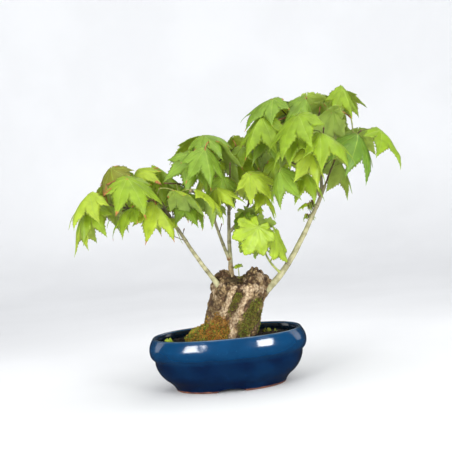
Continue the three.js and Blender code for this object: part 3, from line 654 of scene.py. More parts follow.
# %% Bark relief
PLATE_SIZE, CRAG_SIZE, GRAIN_SIZE = 6.5, 9, 2.6
PLATE_DEPTH, CRAG_DEPTH, GRAIN_DEPTH, STREAK_RISE, HOLLOW_DEPTH = 1.9, 2.1, 0.6, 0.7, 0.5
# How much of the crags and plates is left below the knobs.
SIDE_CRAGS, SIDE_PLATES = 0.45, 0.3
CELL_WARP, STREAK_WARP = 2.2, 1.4
FIBRE_LONG, FIBRE_LEAN, FIBRE_SIZE, FIBRE_DEPTH = (1, 1, 0.22), (0.4, 0, 0), 1.5, 0.45
# Planks of old wood seen from the front and the rear: [x, z] along each, width, strength and side.
PALE_STREAKS = [
    ([(30, 97), (22, 88), (18, 80), (10, 71), (6, 62), (5, 50)], 3.5, 1, -1),
    ([(22, 96), (33, 99), (39, 95)], 5, 0.8, -1), ([(40, 110), (38, 103)], 4.5, 0.6, -1),
    ([(11, 98), (7, 92), (2, 82), (-2, 72)], 3.3, 0.95, -1), ([(-10, 102), (-9, 90)], 3, 0.7, -1),
    ([(2, 100), (8, 84), (18, 66)], 5, 0.85, 1), ([(34, 100), (31, 82), (35, 64)], 4, 0.8, 1),
]


def streaks(points, rows):
    """How near points lie to lines drawn on the front (-1) or rear (1), each with a width in mm."""
    best = np.zeros(len(points))
    flat = points[:, [0, 2]]
    for line, wide, strength, side in rows:
        for a, b in zip(np.array(line[:-1], float), np.array(line[1:], float)):
            share = np.clip((flat - a) @ (b - a) / ((b - a) @ (b - a)), 0, 1)[:, None]
            off = np.linalg.norm(flat - (a + share * (b - a)), axis=1)
            best = np.maximum(best, strength * np.exp(-(off / wide) ** 2) * (points[:, 1] * side > 0))
    return best


def normals_of(points, faces):
    mesh = bpy.data.meshes.new("first")
    mesh.from_pydata(points.tolist(), [], faces)
    mesh.update()
    values = np.zeros(len(points) * 3, np.float32)
    mesh.vertices.foreach_get("normal", values)
    bpy.data.meshes.remove(mesh)
    return values.reshape(-1, 3)


def plates(points, size):
    """0 in the cracks between cells and 1 on them."""
    near = np.array([noise.voronoi(Vector(p) / size)[0][:2] for p in points])
    return smooth(near[:, 1] - near[:, 0], 0.02, 0.35)


print("strokes of pale wood:", len(PALE_STREAKS))

# %% [markdown]
# Now the bark is cut. Plates and crags are deep on the knobs, and less than half as deep on the
# sides. Pale planks of old wood have almost no plates, but long fibres.

# %% Cutting the bark
stump_faces = ring_faces(len(rows), STUMP_AROUND)
stump_out = normals_of(stump, stump_faces)
warped = stump + CELL_WARP * push(stump, 7, (1, 4, 9))
pale_ridge = streaks(stump + STREAK_WARP * push(stump, 6, (2, 5, 7)), PALE_STREAKS)
hollows = [ridge_reach(ridge, row_angle, row_share) for ridge in STUMP_RELIEF if "moss" in ridge]
moss_hollow = np.clip(sum(hollows), 0, 1)
knobby = smooth(row_share, 0.62, 0.9) * (1 - 0.6 * pale_ridge)
plate = plates(warped, PLATE_SIZE)
crag, grit = rough(warped, CRAG_SIZE, 4), rough(stump, GRAIN_SIZE, 3, 3)
fibre = rough((stump + np.multiply(FIBRE_LEAN, stump[:, 2:])) * FIBRE_LONG, FIBRE_SIZE, 2, 8)
relief = CRAG_DEPTH * crag * mix(SIDE_CRAGS, 1, knobby) + GRAIN_DEPTH * grit
relief += PLATE_DEPTH * (plate - 1) * mix(SIDE_PLATES, 1, knobby) * (1 - 0.95 * pale_ridge)
relief += STREAK_RISE * smooth(pale_ridge, 0.25, 0.75) + FIBRE_DEPTH * fibre * pale_ridge
relief -= HOLLOW_DEPTH * moss_hollow
stump = stump + stump_out * (relief * smooth(row_share, -0.01, 0.03))[:, None]
print("relief from", round(float(relief.min()), 2), "to", round(float(relief.max()), 2), "mm")

# %% [markdown]
# Where old wood shows pale, where moss grows and where the moss has turned rusty are soft spots set
# by place, broken up by noise. They are stored as named values on the points: the bark's material
# reads them for its colour, and the scattering tree reads them for the moss.

# %% Pale wood and moss on the stump
# Spots: middle, spread and strength.
PALE_SPOTS = [(-1, -20, 104, 4, 0.8), (41, -14, 110, 4, 0.8), (24, -14, 108, 4, 0.6), (-10, 12, 96, 5, 0.7)]
# Darker spots: painted shade in the hollow between the knobs, and darker bark low on the front and left.
SHADE_AND_DARK_SPOTS = [(-15, -16, 80, 9, 0.45), (11, -12, 106, 8, 1), (4, -20, 86, 6, 0.5), (12, 10, 108, 8, 0.8),
              (20, -2, 108, 7, 0.6)]
GREEN_SPOTS = [(28, -24, 70, 11, 1.1), (22, -26, 57, 11, 1.2), (13, -20, 90, 6, 0.9), (8, -22, 80, 6, 0.8),
               (35, -16, 82, 8, 0.9), (38, -14, 66, 9, 0.9), (40, 6, 60, 15, 1), (14, 24, 66, 14, 1),
               (-14, 20, 58, 13, 1.1), (18, -6, 109, 6, 0.7), (2, -22, 52, 8, 0.8)]
RUST_SPOTS = [(-9, -24, 66, 11, 1.2), (-4, -24, 58, 10, 1.1), (-20, -6, 64, 9, 0.9), (30, 20, 58, 10, 0.7)]
DEPTH_MIDDLE, DEPTH_SPAN = 0.62, 3.4


def spots(points, rows):
    return sum(k * np.exp(-((points - [x, y, z]) ** 2).sum(1) / s ** 2) for x, y, z, s, k in rows)


patch, fleck = rough(stump, 5, 4, 7), rough(stump, 2.2, 3, 12)
pale = smooth(pale_ridge + spots(stump, PALE_SPOTS) + 0.42 * patch + 0.3 * fleck, 0.34, 0.72)
mossy = spots(stump, GREEN_SPOTS) + 0.5 * moss_hollow + 0.45 * patch + 0.3 * fleck - 0.6 * pale_ridge
rusty = spots(stump, RUST_SPOTS) + 0.4 * patch + 0.35 * fleck - 0.3 * pale_ridge
rust = smooth(rusty, 0.45, 0.8)
green = smooth(mossy, 0.5, 0.8) * (1 - 0.8 * pale) * (1 - 0.6 * rust)
# Painted shade in the crown's hollow, with darker bark lower down.
dark = np.clip(spots(stump, SHADE_AND_DARK_SPOTS), 0, 1) * (1 - pale)
# Depth paints shade into the low places and a paler colour on the high ones, partly worn bark and partly
# painted light.
depth = np.clip(DEPTH_MIDDLE + relief / DEPTH_SPAN, 0, 1)
pale = pale * (0.75 + 0.4 * smooth(fibre, -0.5, 0.5)).clip(0, 1)
clump = smooth(rough(stump, 5, 2, 15), 0.15, 0.45) * np.maximum(rust, green)
stump_parts = Parts()
stump_parts.add(stump, stump_faces, pale=pale, green=green, rust=rust, dark=dark, depth=depth, clump=clump)
print("shares of", {"pale": round(float(pale.mean()), 2), "green": round(float(green.mean()), 2),
                    "rust": round(float(rust.mean()), 2)})

# %% [markdown]
# The bark's colour is built up in layers, each laid over the last by one of those values: brown and
# tan by depth, which is painted shade in the low places and a paler colour on the high ones, partly
# worn bark and partly painted light; then pale wood, painted shade in the hollow between the knobs,
# fine cracks, and a film of moss under the tufts. The cracks are the edges of Voronoi cells, bent by
# noise. They are cut into the relief as well.

# %% Bark
CRACK_APART, CRACK_BEND, CRACK_WANDER, CRACK_WIDE = 4.8, 3.0, 2.5, 0.13
CRACK_DARK, CRACK_DARK_ON_PALE, CRACK_CUT = 0.5, 0.1, -0.5
bark, tree, principled = shader("stump_bark", 0.88)
place, pale_wood = own_place(tree), stored(tree, "pale")
wander = node(tree, "ShaderNodeTexNoise", {"Vector": place, "Scale": 1 / (CRACK_WANDER * MM), "Detail": 3.0})
bent = node(tree, "ShaderNodeVectorMath", {0: wander.outputs["Color"], 1: (CRACK_BEND * MM,) * 3, 2: place},
            operation="MULTIPLY_ADD").outputs[0]
apart = node(tree, "ShaderNodeTexVoronoi", {"Vector": bent, "Scale": 1 / (CRACK_APART * MM)},
             feature="DISTANCE_TO_EDGE").outputs["Distance"]
crack = ranged(tree, apart, high=CRACK_WIDE, start=1.0, end=0.0)
bark_left = ranged(tree, pale_wood, start=CRACK_DARK, end=CRACK_DARK_ON_PALE, easing="LINEAR")
layered(tree, principled,
        ((56, 38, 24), (104, 76, 50), 4, 5, None),
        # Tan on high places over brown in low ones: painted shade below, partly worn bark and partly painted
        # light above.
        ((104, 82, 48), (172, 146, 104), 3.2, 5, ranged(tree, stored(tree, "depth"), 0.38, 0.72)),
        ((140, 114, 84), (210, 188, 154), 2.6, 5, pale_wood),
        # Painted shade in the hollow between the knobs, and darker bark lower down.
        ((38, 30, 18), (80, 68, 36), 3, 3, stored(tree, "dark")),
        ((48, 34, 20), (84, 62, 38), 2, 3, calc(tree, "MULTIPLY", crack, bark_left)),
        ((70, 60, 20), (112, 102, 34), 2.4, 3, stored(tree, "green")),
        ((98, 66, 24), (150, 110, 44), 2.4, 3, stored(tree, "rust")))
grain = patches(tree, 1.5, detail=6)["Height"]
bump(tree, principled, calc(tree, "MULTIPLY_ADD", crack, CRACK_CUT, grain), 0.9)
stump_piece = settle(stump_parts.make("stump", [bark]), "bark", "trunk")

# %% [markdown]
# Moss is heaped over the stump's left foot. Its body is a low ragged dome with lumps, sunk a little
# in the soil and in the bark, so that it grows out of both.

# %% The moss heap
MOUND_X, MOUND_Y, MOUND_HALF_X, MOUND_HALF_Y, MOUND_HEIGHT = -16, -12, 27, 23, 16.5
MOUND_AROUND, MOUND_ROWS = 120, 40
MOUND_SUNK, MOUND_BLUNT = 1.2, 1.3
MOUND_RUST = [(-8, -30, 55, 11, 1.2), (-14, -26, 60, 10, 1), (-30, -22, 54, 9, 0.6), (-22, -2, 62, 9, 0.5)]
mound_foot = BED_Z - MOUND_SUNK
fall = np.repeat(np.linspace(0, math.pi / 2, MOUND_ROWS), MOUND_AROUND)
mound_angle = np.tile(np.arange(MOUND_AROUND) / MOUND_AROUND * 2 * math.pi, MOUND_ROWS)
ragged = 1 + 0.05 * np.sin(5 * mound_angle + 1) + 0.04 * np.sin(8 * mound_angle)
mound = np.stack([MOUND_X + MOUND_HALF_X * np.cos(fall) * ragged * np.cos(mound_angle),
                  MOUND_Y + MOUND_HALF_Y * np.cos(fall) * ragged * np.sin(mound_angle),
                  mound_foot + (MOUND_HEIGHT + MOUND_SUNK) * np.sin(fall) ** MOUND_BLUNT], -1)
mound = np.concatenate([mound, [[MOUND_X, MOUND_Y, mound_foot], [MOUND_X, MOUND_Y, mound[-1, 2]]]])
mound_faces = ring_faces(MOUND_ROWS, MOUND_AROUND)
lumps = 2.2 * rough(mound, 8, 3, 2) + 0.8 * rough(mound, 2.6, 3, 5)
lumps *= smooth(mound[:, 2], mound_foot, BED_Z + 2)
mound = mound + normals_of(mound, mound_faces) * lumps[:, None]
mound_rust = smooth(spots(mound, MOUND_RUST) + 0.6 * rough(mound, 6, 3, 8), 0.4, 0.8)
shown = smooth(mound[:, 2], BED_Z - 0.6, BED_Z + 0.4)
mound_parts = Parts()
mound_parts.add(mound, mound_faces, rust=mound_rust, green=shown * (1 - 0.7 * mound_rust), shown=shown,
                clump=shown * smooth(rough(mound, 6, 2, 15), 0.1, 0.4))
print("mound points:", len(mound))

# %% [markdown]
# Moss itself is tufts of pointed leaflets. One tuft is six slim closed spikes, and each kind of moss
# takes a plain colour of its own: fresh yellow-green, olive, and rust. Dealing colours out by piece
# keeps them when the model is exported, where a pattern over thousands of tufts would be muddled.

# %% Moss tufts
MOSS_COLOURS = {"fresh": ((96, 124, 30), (140, 160, 54), 7), "olive": ((86, 84, 24), (134, 126, 44), 7),
                "rust": ((150, 98, 28), (200, 150, 58), 6), "lime": ((128, 150, 34), (172, 190, 66), 7)}
SPIKES, SPIKE_HALF, SPIKE_DEEP, SPIKE_FOOT = 6, 0.22, 0.3, 0.12


def moss_tuft(name, seed, tall):
    draws = np.random.default_rng(seed)
    parts = Parts()
    for k in range(SPIKES):
        turn = (k + draws.uniform(-0.3, 0.3)) / SPIKES * 2 * math.pi
        out = np.array([math.cos(turn), math.sin(turn), 0])
        side = np.array([-out[1], out[0], 0])
        base, reach = SPIKE_FOOT * out, draws.uniform(0.3, 0.75)
        tip = out * reach + np.array([0, 0, tall * draws.uniform(0.75, 1.15)])
        rear = base + SPIKE_DEEP * out + [0, 0, 0.1]
        parts.add([base - SPIKE_HALF * side, base + SPIKE_HALF * side, rear, tip],
                  [(2, 1, 0), (0, 1, 3), (1, 2, 3), (2, 0, 3)])
    mesh = bpy.data.meshes.new(name)
    mesh.from_pydata((np.concatenate(parts.points) * MM).tolist(), [], parts.faces)
    spikes = bmesh.new()
    spikes.from_mesh(mesh)
    bmesh.ops.recalc_face_normals(spikes, faces=spikes.faces)
    spikes.to_mesh(mesh)
    spikes.free()
    return bpy.data.objects.new(name, mesh)


short_tuft, tall_tuft = moss_tuft("short_tuft", 1, 0.8), moss_tuft("tall_tuft", 2, 1.25)
print("faces in a tuft:", len(short_tuft.data.polygons))

# %% [markdown]
# The heap itself is green, and rusty in places. Each kind of moss is then spread over the heap or the
# stump where its named value is high, thickest where the value is one.

# %% Spreading the moss
heap_finish, tree, principled = shader("moss_cushion", 0.95)
layered(tree, principled, ((74, 72, 20), (122, 122, 40), 3, 3, None),
        ((104, 62, 16), (164, 108, 32), 2.6, 3, stored(tree, "rust")))
bump(tree, principled, patches(tree, 1.4, detail=5)["Height"], 0.8)
heap = settle(mound_parts.make("moss_heap", [heap_finish]), "moss", "moss_mound")

moss_finishes = {name: plain_finish(f"{name}_moss", dark, light, size, 2, 0.2, 0.85)
                 for name, (dark, light, size) in MOSS_COLOURS.items()}
# Each spread: where it grows, tufts to the square metre at most, colour and seed.
MOSSES = {
    "stump_moss_green": ("green", 3e5, "olive", 11),
    "stump_moss_fresh": ("green", 1.3e5, "fresh", 12),
    "stump_moss_rust": ("rust", 3.6e5, "rust", 13),
    "stump_moss_olive": ("rust", 2.2e5, "olive", 17),
    "stump_moss_lime": ("clump", 2.6e5, "lime", 18),
    "heap_moss_lime": ("clump", 2.6e5, "lime", 19),
    "heap_moss_fresh": ("green", 1.6e5, "fresh", 14),
    "heap_moss_olive": ("shown", 3.2e5, "olive", 15),
    "heap_moss_rust": ("shown", 3e5, "rust", 16),
}
for name, (where, dense, colour, seed) in MOSSES.items():
    surface, tuft = (stump_piece, short_tuft) if name.startswith("stump") else (heap, tall_tuft)
    scattered(name, surface, "moss", Grain=tuft, Where=where, Density=dense, Least=0.6, Greatest=1.35,
              Lean=0.5, Seed=seed, Finish=moss_finishes[colour])

# %% [markdown]
# ## The limbs
# Three thin boughs rise from the stump and fork into branches. Each runs along a curve that bows off
# the straight line between its ends, and tapers. The table gives each limb's foot, or the limb that it
# leaves and the share of it, then its tip, its bow, and its radius at both ends.

# %% Limb table
LIMBS = {
    "left_bough": ((-3, -14, 101), (-52, -26, 190), (6, 0, 3), 2.6, 1.3),
    "left_low": (("left_bough", 0.93), (-93, -37, 189), (0, 0, -1), 1.2, 0.9),
    "left_upper": (("left_bough", 0.88), (-77, -4, 204), (-2, 0, 0), 1.2, 0.9),
    "left_rear": (("left_bough", 0.78), (-70, 28, 193), (0, 3, 3), 1.3, 0.9),
    "centre_bough": ((10, 0, 104), (16, 0, 198), (-1.5, 0, 0), 3, 1.3),
    "centre_left": (("centre_bough", 0.22), (-4, -12, 183), (-1.5, 0, 0), 1.9, 1.2),
    "centre_out": (("centre_left", 0.93), (-32, -20, 207), (0, 0, 3), 1.2, 0.9),
    "centre_right": (("centre_bough", 0.53), (34, -8, 181), (1.5, 0, 0), 1.6, 1.1),
    "centre_cross": (("centre_right", 0.9), (44, 8, 201), (1, 0, 1), 1.1, 0.9),
    "centre_rear": (("centre_bough", 0.8), (27, 42, 209), (0, 3, 2), 1.4, 0.9),
    "centre_high": (("centre_bough", 0.93), (3, -8, 227), (0, 0, 2), 1.2, 0.9),
    "right_bough": ((42, -4, 91), (113, -4, 193), (-3, 0, -16), 4.6, 1.8),
    "right_leader": (("right_bough", 0.95), (106, 2, 243), (3, 0, 2), 1.7, 1.1),
    "right_side": (("right_bough", 0.93), (91, -28, 211), (0, 0, 2), 1.3, 0.9),
    "right_outer": (("right_leader", 0.35), (136, -8, 232), (0, 0, 2), 1.3, 0.9),
    "right_rear": (("right_leader", 0.5), (117, 48, 247), (0, 3, 3), 1.3, 0.9),
    "right_lift": (("right_leader", 0.7), (92, -8, 251), (0, 0, 2), 1.2, 0.9),
    "right_fore": (("right_leader", 0.6), (111, -30, 235), (0, -2, 2), 1.2, 0.9),
    "shoot": (("right_bough", 0.3), (46, -18, 130), (-2, -1, 0), 1.3, 0.9),
}
# The three boughs as a closer look at the photograph shows them: bow and radii. Growth goes by the
# table above, so that the leaves keep their places.
BOUGHS_SEEN = {"left_bough": ((-1, 0, -2), 2.3, 1.3), "centre_bough": ((-1.5, 0, 0), 2.5, 1.3),
               "right_bough": ((-3, 0, -16), 3.5, 1.8)}
print("limbs:", len(LIMBS))

# %% [markdown]
# A limb is a curve whose middle is pulled off the straight line. One that leaves another limb starts
# at a point of that limb's curve, so we work feet out in the order of the table.

# %% Curves and feet
UP = np.array([0.0, 0.0, 1.0])


def unit(vector):
    return vector / math.sqrt(float(vector @ vector))


def bend(foot, tip, bow, share):
    """A point on a curve whose middle bows off the straight line."""
    middle = (foot + tip) / 2 + bow * 2
    return foot * (1 - share) ** 2 + middle * 2 * share * (1 - share) + tip * share ** 2


def heading(foot, tip, bow, share):
    middle = (foot + tip) / 2 + bow * 2
    return unit((middle - foot) * 2 * (1 - share) + (tip - middle) * 2 * share)


def placed(table):
    """Limbs with their feet worked out. Each is its foot, tip, bow, and radius at both ends."""
    made = {}
    for name, (foot, tip, bow, thick, thin) in table.items():
        start = bend(*made[foot[0]][:3], foot[1]) if isinstance(foot[0], str) else np.array(foot, float)
        made[name] = (start, np.array(tip, float), np.array(bow, float), thick, thin)
    return made


limbs = placed(LIMBS)
drawn_limbs = placed({name: (*row[:2], *BOUGHS_SEEN.get(name, row[2:])) for name, row in LIMBS.items()})
print("longest limb:", round(max(span(foot, tip) for foot, tip, *_ in limbs.values())), "mm")

# %% [markdown]
# One sweep makes every rod on the plant, from the thickest bough to the stalk of a leaf. It carries a
# ring of points along a path, turning the ring as little as it can, so that nothing twists. Both ends
# close in a low point.

# %% Sweeping a rod
FIRST_RING_SIDE = (0.3, 0.9, 0.2)
FOOT_POINT, TIP_POINT = 0.3, 0.5


def rod(parts, path, radii, around, finish=0, **values):
    """A closed rod along a path. Radii and values may differ from ring to ring."""
    path, radii = np.asarray(path, float), np.broadcast_to(radii, len(path))
    ahead = np.gradient(path, axis=0)
    ahead /= np.linalg.norm(ahead, axis=1)[:, None]
    side = unit(np.cross(ahead[0], FIRST_RING_SIDE))
    turns = np.arange(around) / around * 2 * math.pi
    rings = []
    for place, way, radius in zip(path, ahead, radii):
        side = unit(side - way * float(side @ way))
        over = np.cross(way, side)
        rings.append(place + radius * (np.outer(np.cos(turns), side) + np.outer(np.sin(turns), over)))
    foot, tip = path[0] - ahead[0] * radii[0] * FOOT_POINT, path[-1] + ahead[-1] * radii[-1] * TIP_POINT
    spread = {key: np.append(np.repeat(np.broadcast_to(row, len(path)), around), [0, 0])
              for key, row in values.items()}
    parts.add(np.concatenate([*rings, [foot, tip]]), ring_faces(len(path), around), finish, **spread)


def curve(foot, tip, bow, count, end=1.0):
    return np.array([bend(foot, tip, bow, share) for share in np.linspace(0, end, count)])


bough_curve = curve(*limbs["right_bough"][:3], 9)
bough_straight = (bough_curve[0] + bough_curve[-1]) / 2
print("the right bough's middle bows", round(span(bough_curve[4], bough_straight)), "mm")

# %% [markdown]
# A young limb isn't a plain tube: it swells at every node where a pair of leaves once stood, with a
# dark scar round it, it wanders a little, and it flares where it starts. Its bark is smooth, grey and a
# little green, and turns dark and brown on the thin twigs above. Scars are a value on the points, one
# at each ring of a node. The largest limbs' nodes are placed where the photograph shows them.

# %% Boughs
NODE_EVERY, NODE_STRAY, NODE_SWELL, NODE_WIDE = 24.0, 0.3, 0.16, 1.3
SCAR_OFF, SCAR_WIDE, SCAR_DARK = 0.9, 0.45, 0.75
OWN_NODES = {"right_bough": (0.3, 0.58, 0.825), "left_bough": (0.2, 0.34, 0.56, 0.7), "shoot": (0.5,)}
RING_EVERY, WANDER, STEADY_FOOT, STEADY_TIP, UNEVEN = 0.8, 0.45, 12, 8, 0.05
# Each bough's flare: how much thicker it starts, and over how many millimetres. Then all others'.
FLARE = {"left_bough": (0.5, 8), "centre_bough": (0.6, 7), "right_bough": (0.1, 8)}
SMALL_FLARE, SUNK = (0.25, 3), 5.0
KNOTS = {"centre_left": 0.5, "shoot": 0.3, "right_side": 0.2}
KNOT_AT, KNOT_WIDE, HIDDEN_FOOT = 3.2, 2.4, (0.5, 3)
# Where the red-brown foot of a limb ends, in millimetres along it. The others have none.
RED_FOOT, NO_RED_FOOT = {"centre_bough": (14, 24)}, (-9, -8)
GROUPS = {"left": "left_boughs", "centre": "centre_boughs", "right": "right_boughs", "shoot": "green_shoot"}


def limb_rod(parts, name):
    foot, tip, bow, thick, thin = drawn_limbs[name]
    length = span(foot, tip)
    path = curve(foot, tip, bow, int(length / RING_EVERY))
    sunk = SUNK if name in FLARE else 0
    if sunk:
        lead = heading(foot, tip, bow, 0) * sunk
        path = np.concatenate([[path[0] - lead * k for k in (1, 0.75, 0.5, 0.25)], path])
    way = np.append(0, np.cumsum(np.linalg.norm(np.diff(path, axis=0), axis=1)))
    above = way - sunk
    stay = smooth(way, sunk, sunk + STEADY_FOOT) * (1 - smooth(way, way[-1] - STEADY_TIP, way[-1]))
    drift = push(path, 21, (3, 6, 8)) * WANDER * stay[:, None]
    amount, reach = FLARE.get(name, SMALL_FLARE)
    radii = mix(thick, thin, np.clip(above / length, 0, 1)) * (1 + amount * np.exp(-(above / reach).clip(0)))
    shares = OWN_NODES.get(name) or [(k + NODE_STRAY * math.sin(5 * k + length)) / (length / NODE_EVERY + 0.4)
                                     for k in range(1, int(length / NODE_EVERY) + 1)]
    scar = np.zeros(len(way))
    for share in shares:
        off = np.abs(above - share * length)
        radii = radii + NODE_SWELL * (0.5 + 0.25 * thick) * np.exp(-(off / NODE_WIDE) ** 2)
        scar = np.maximum(scar, np.exp(-((off - SCAR_OFF) / SCAR_WIDE) ** 2))
    knot = KNOTS.get(name, 0) * np.exp(-((above - KNOT_AT) / KNOT_WIDE) ** 2)
    radii = radii * (1 + UNEVEN * rough(path, 3, 2, 5)) + knot
    if not sunk:
        radii = radii * mix(HIDDEN_FOOT[0], 1, smooth(way, 0, HIDDEN_FOOT[1]))
    youth = np.clip(1.35 - radii / 2.1, 0, 1) * smooth(path[:, 2], 120, 185)
    red = 1 - smooth(above + 4 * rough(path, 4, 2, 9), *RED_FOOT.get(name, NO_RED_FOOT))
    rod(parts, path + drift, radii, 16 if thick > 2 else 10, scar=scar, youth=youth,
        knot=np.clip(2 * knot + 0.6 * red, 0, 1))


limb_bark, tree, principled = shader("limb_bark", 0.62)
layered(tree, principled, ((140, 136, 98), (182, 177, 136), 6, 5, None),
        ((58, 46, 32), (98, 82, 54), 4, 3, stored(tree, "youth")),
        ((48, 36, 24), (88, 66, 42), 2, 3, calc(tree, "MULTIPLY", stored(tree, "scar"), SCAR_DARK)),
        ((104, 72, 42), (160, 124, 78), 3, 3, stored(tree, "knot")))
bump(tree, principled, patches(tree, 0.9, detail=4)["Height"], 0.25)
green_bark = plain_finish("green_bark", (120, 132, 60), (168, 176, 96), 4, 1, 0.15, 0.5)

for side, piece_name in GROUPS.items():
    names = [name for name in limbs if name.startswith(side)]
    parts = Parts()
    for name in names:
        limb_rod(parts, name)
    settle(parts.make(piece_name, [green_bark if side == "shoot" else limb_bark]), "stem", *names)

# %% [markdown]
# ## The rule of growth
# Leaves and twigs grow by a rule with a seed for each mass, the same rule that grew the solids, so
# that each leaf comes to lie where its solid has one. A mass has a stem that goes on from its limb,
# a side twig or two, and pairs of leaves that turn by a quarter from node to node.

# %% The masses
USUAL = {"pairs": 2, "twigs": 1, "blade": 48, "stalk": 16, "young": False, "room": 1}
MASSES = {
    "shoot_leaves": dict(limb="shoot", tip=(43, -26, 152), twigs=0, blade=35, stalk=11, seed=728, young=True),
    "left_far": dict(limb="left_low", tip=(-116, -42, 198), blade=50, stalk=17, seed=504),
    "right_far": dict(limb="right_outer", tip=(153, -14, 244), blade=54, seed=339),
    "right_top": dict(limb="right_leader", tip=(115, 0, 268), pairs=3, stalk=15, seed=7),
    "right_top_left": dict(limb="right_lift", tip=(79, -12, 264), blade=50, stalk=18, seed=576),
    "left_top": dict(limb="left_upper", tip=(-85, -2, 215), seed=490),
    "centre_left_top": dict(limb="centre_high", tip=(-3, -10, 242), seed=578),
    "left_front": dict(limb="left_bough", tip=(-66, -47, 194), stalk=17, seed=13),
    "centre_left_front": dict(limb="centre_left", tip=(-14, -42, 194), twigs=0, blade=46, seed=38),
    "centre_front": dict(limb="centre_right", tip=(34, -36, 200), twigs=0, blade=46, seed=639),
    "right_low": dict(limb="right_side", tip=(76, -48, 217), blade=46, seed=375),
    "right_mid": dict(limb="right_bough", tip=(120, -38, 215), twigs=0, stalk=17, seed=554),
    "right_front": dict(limb="right_fore", tip=(111, -48, 246), stalk=18, seed=55),
    "left_inner": dict(limb="centre_out", tip=(-46, -38, 208), blade=46, seed=366),
    "centre_mid": dict(limb="centre_bough", tip=(19, -20, 223), blade=42, seed=278),
    "centre_right_top": dict(limb="centre_cross", tip=(58, 14, 230), pairs=3, blade=46, stalk=18, seed=29),
    "left_back": dict(limb="left_rear", tip=(-83, 52, 209), twigs=2, stalk=18, seed=346),
    "centre_back": dict(limb="centre_rear", tip=(31, 64, 232), twigs=2, stalk=18, seed=62),
    "right_back": dict(limb="right_rear", tip=(126, 64, 266), twigs=2, stalk=18, seed=472),
}
# Finer twigs, each with a pair of smaller leaves: their limb, how far along it they start, and the rest
# as above. They reach no farther than the masses round them.
FINE = {
    "left_rust": dict(limb="left_low", share=0.8, tip=(-99, -24, 214), blade=40, stalk=13, seed=65),
    "left_rise": dict(limb="left_upper", share=0.9, tip=(-64, 0, 217), blade=38, stalk=13, seed=150),
    "centre_peak": dict(limb="centre_high", share=0.8, tip=(-7, -2, 244), blade=42, stalk=13, seed=27),
    "centre_bow": dict(limb="centre_high", share=0.9, tip=(27, 0, 241), blade=34, stalk=12, seed=147),
    "right_crest": dict(limb="right_lift", share=0.9, tip=(74, -4, 277), blade=44, stalk=14, seed=283),
    "right_peak": dict(limb="right_leader", share=0.9, tip=(103, 4, 284), blade=42, stalk=14, seed=327),
    "right_brow": dict(limb="right_leader", share=0.85, tip=(139, 8, 278), blade=44, stalk=14, seed=213),
    "left_gap": dict(limb="left_bough", share=0.9, tip=(-30, -30, 187), blade=36, stalk=12, seed=250),
    "low_dark": dict(limb="centre_right", share=0.3, tip=(29, -12, 171), blade=24, stalk=7, seed=291,
                     young=True),
    "low_side": dict(limb="shoot", share=0.6, tip=(58, -20, 136), blade=22, stalk=8, seed=233, young=True),
}
FINE_ROOM = 0.35
print("masses:", len(MASSES), "finer twigs:", len(FINE))

# %% [markdown]
# Chance has to fall as it did for the solids. So all draws come from a small generator of our own that
# starts from a mass's seed, and always in the same order. These tables hold the bounds of each draw,
# and how a side twig leans.

# %% Draws
DRAWN = {"out": (0.7, 1.1), "ahead": (0.2, 0.7), "up": (-0.1, 0.5), "stalk": (0.6, 1.5), "sag": (0.05, 0.2),
         "turn": (-40, 40), "droop": (15, 65), "young_droop": (45, 80), "roll": (-30, 30), "curl": (0.55, 1),
         "size": (0.82, 1.16), "fold": (8, 45)}
TWIG = {"share": (0.25, 0.6), "length": (12, 24), "out": 0.85, "ahead": 0.5, "up": 0.25, "turn": 2.4}
STRAY = {"start": (-40, 40), "leaf": (-30, 30), "pair": (-20, 20)}


class Draws:
    """Repeatable draws from a seed."""

    def __init__(self, seed):
        self.state = (seed * 7919 + 12345) % 2 ** 32
        for _ in range(3):
            self.next()

    def next(self):
        self.state = (self.state * 1664525 + 1013904223) % 2 ** 32
        return self.state / 2 ** 32

    def between(self, low, high):
        return low + (high - low) * self.next()


print("first draw of seed 7:", round(Draws(7).next(), 4))

# %% [markdown]
# A blade has seven lobes. We give each as its angle off the middle one and its length as a share of
# the blade's, with the notches between them the same way. The blade runs out from its foot on an arc
# that curls down, and both halves fold down from its middle.

# %% Where a blade lies
LOBES = [(-126, 0.22), (-82, 0.54), (-40, 0.84), (0, 1.0), (40, 0.84), (82, 0.54), (126, 0.22)]
NOTCHES = [(-104, 0.18), (-61, 0.32), (-20.5, 0.43), (20.5, 0.43), (61, 0.32), (104, 0.18)]
LOBE_BROAD, LOBE_LEAST, LOBE_WIDEST, BLADE_FOOT = 0.165, 0.35, 0.5, -0.02


def lobe_half(reach):
    return LOBE_BROAD * mix(LOBE_LEAST, 1, reach)


def turned_axes(first, second, degrees):
    """Two axes at right angles, turned in their own plane."""
    s, c = sin_cos(degrees)
    return first * c + second * s, second * c - first * s


def blade_points(leaf, flat, lift=0.0):
    """Where flat points of a blade, as [across, along] shares of its length, come to lie."""
    (u, v), size, curl, fold = flat.T, leaf["size"], leaf["curl"], leaf["fold"]
    far = np.hypot(u, v) + 1e-9
    turn = curl * far
    reach = np.sin(turn) / curl / far
    across = reach * u
    drop = (1 - np.cos(turn)) / curl + np.abs(across) * math.sin(fold)
    lean = lift * np.sin(turn) / far
    side = np.outer(size * across * math.cos(fold) + lean * u, leaf["side"])
    axis = np.outer(size * reach * v + lean * v, leaf["axis"])
    high = np.outer(lift * np.cos(turn) - size * drop, leaf["normal"])
    return leaf["foot"] + side + axis + high


print("a middle lobe is", round(2 * lobe_half(1.0), 2), "of its length wide")

# %% [markdown]
# A leaf starts at a node. Its stalk leans out and sags, and its blade droops from the stalk's end,
# turned, rolled and folded by some chance of its own. A blade that droops less curls more.

# %% One leaf
ELBOW, HANGING = 0.6, 98


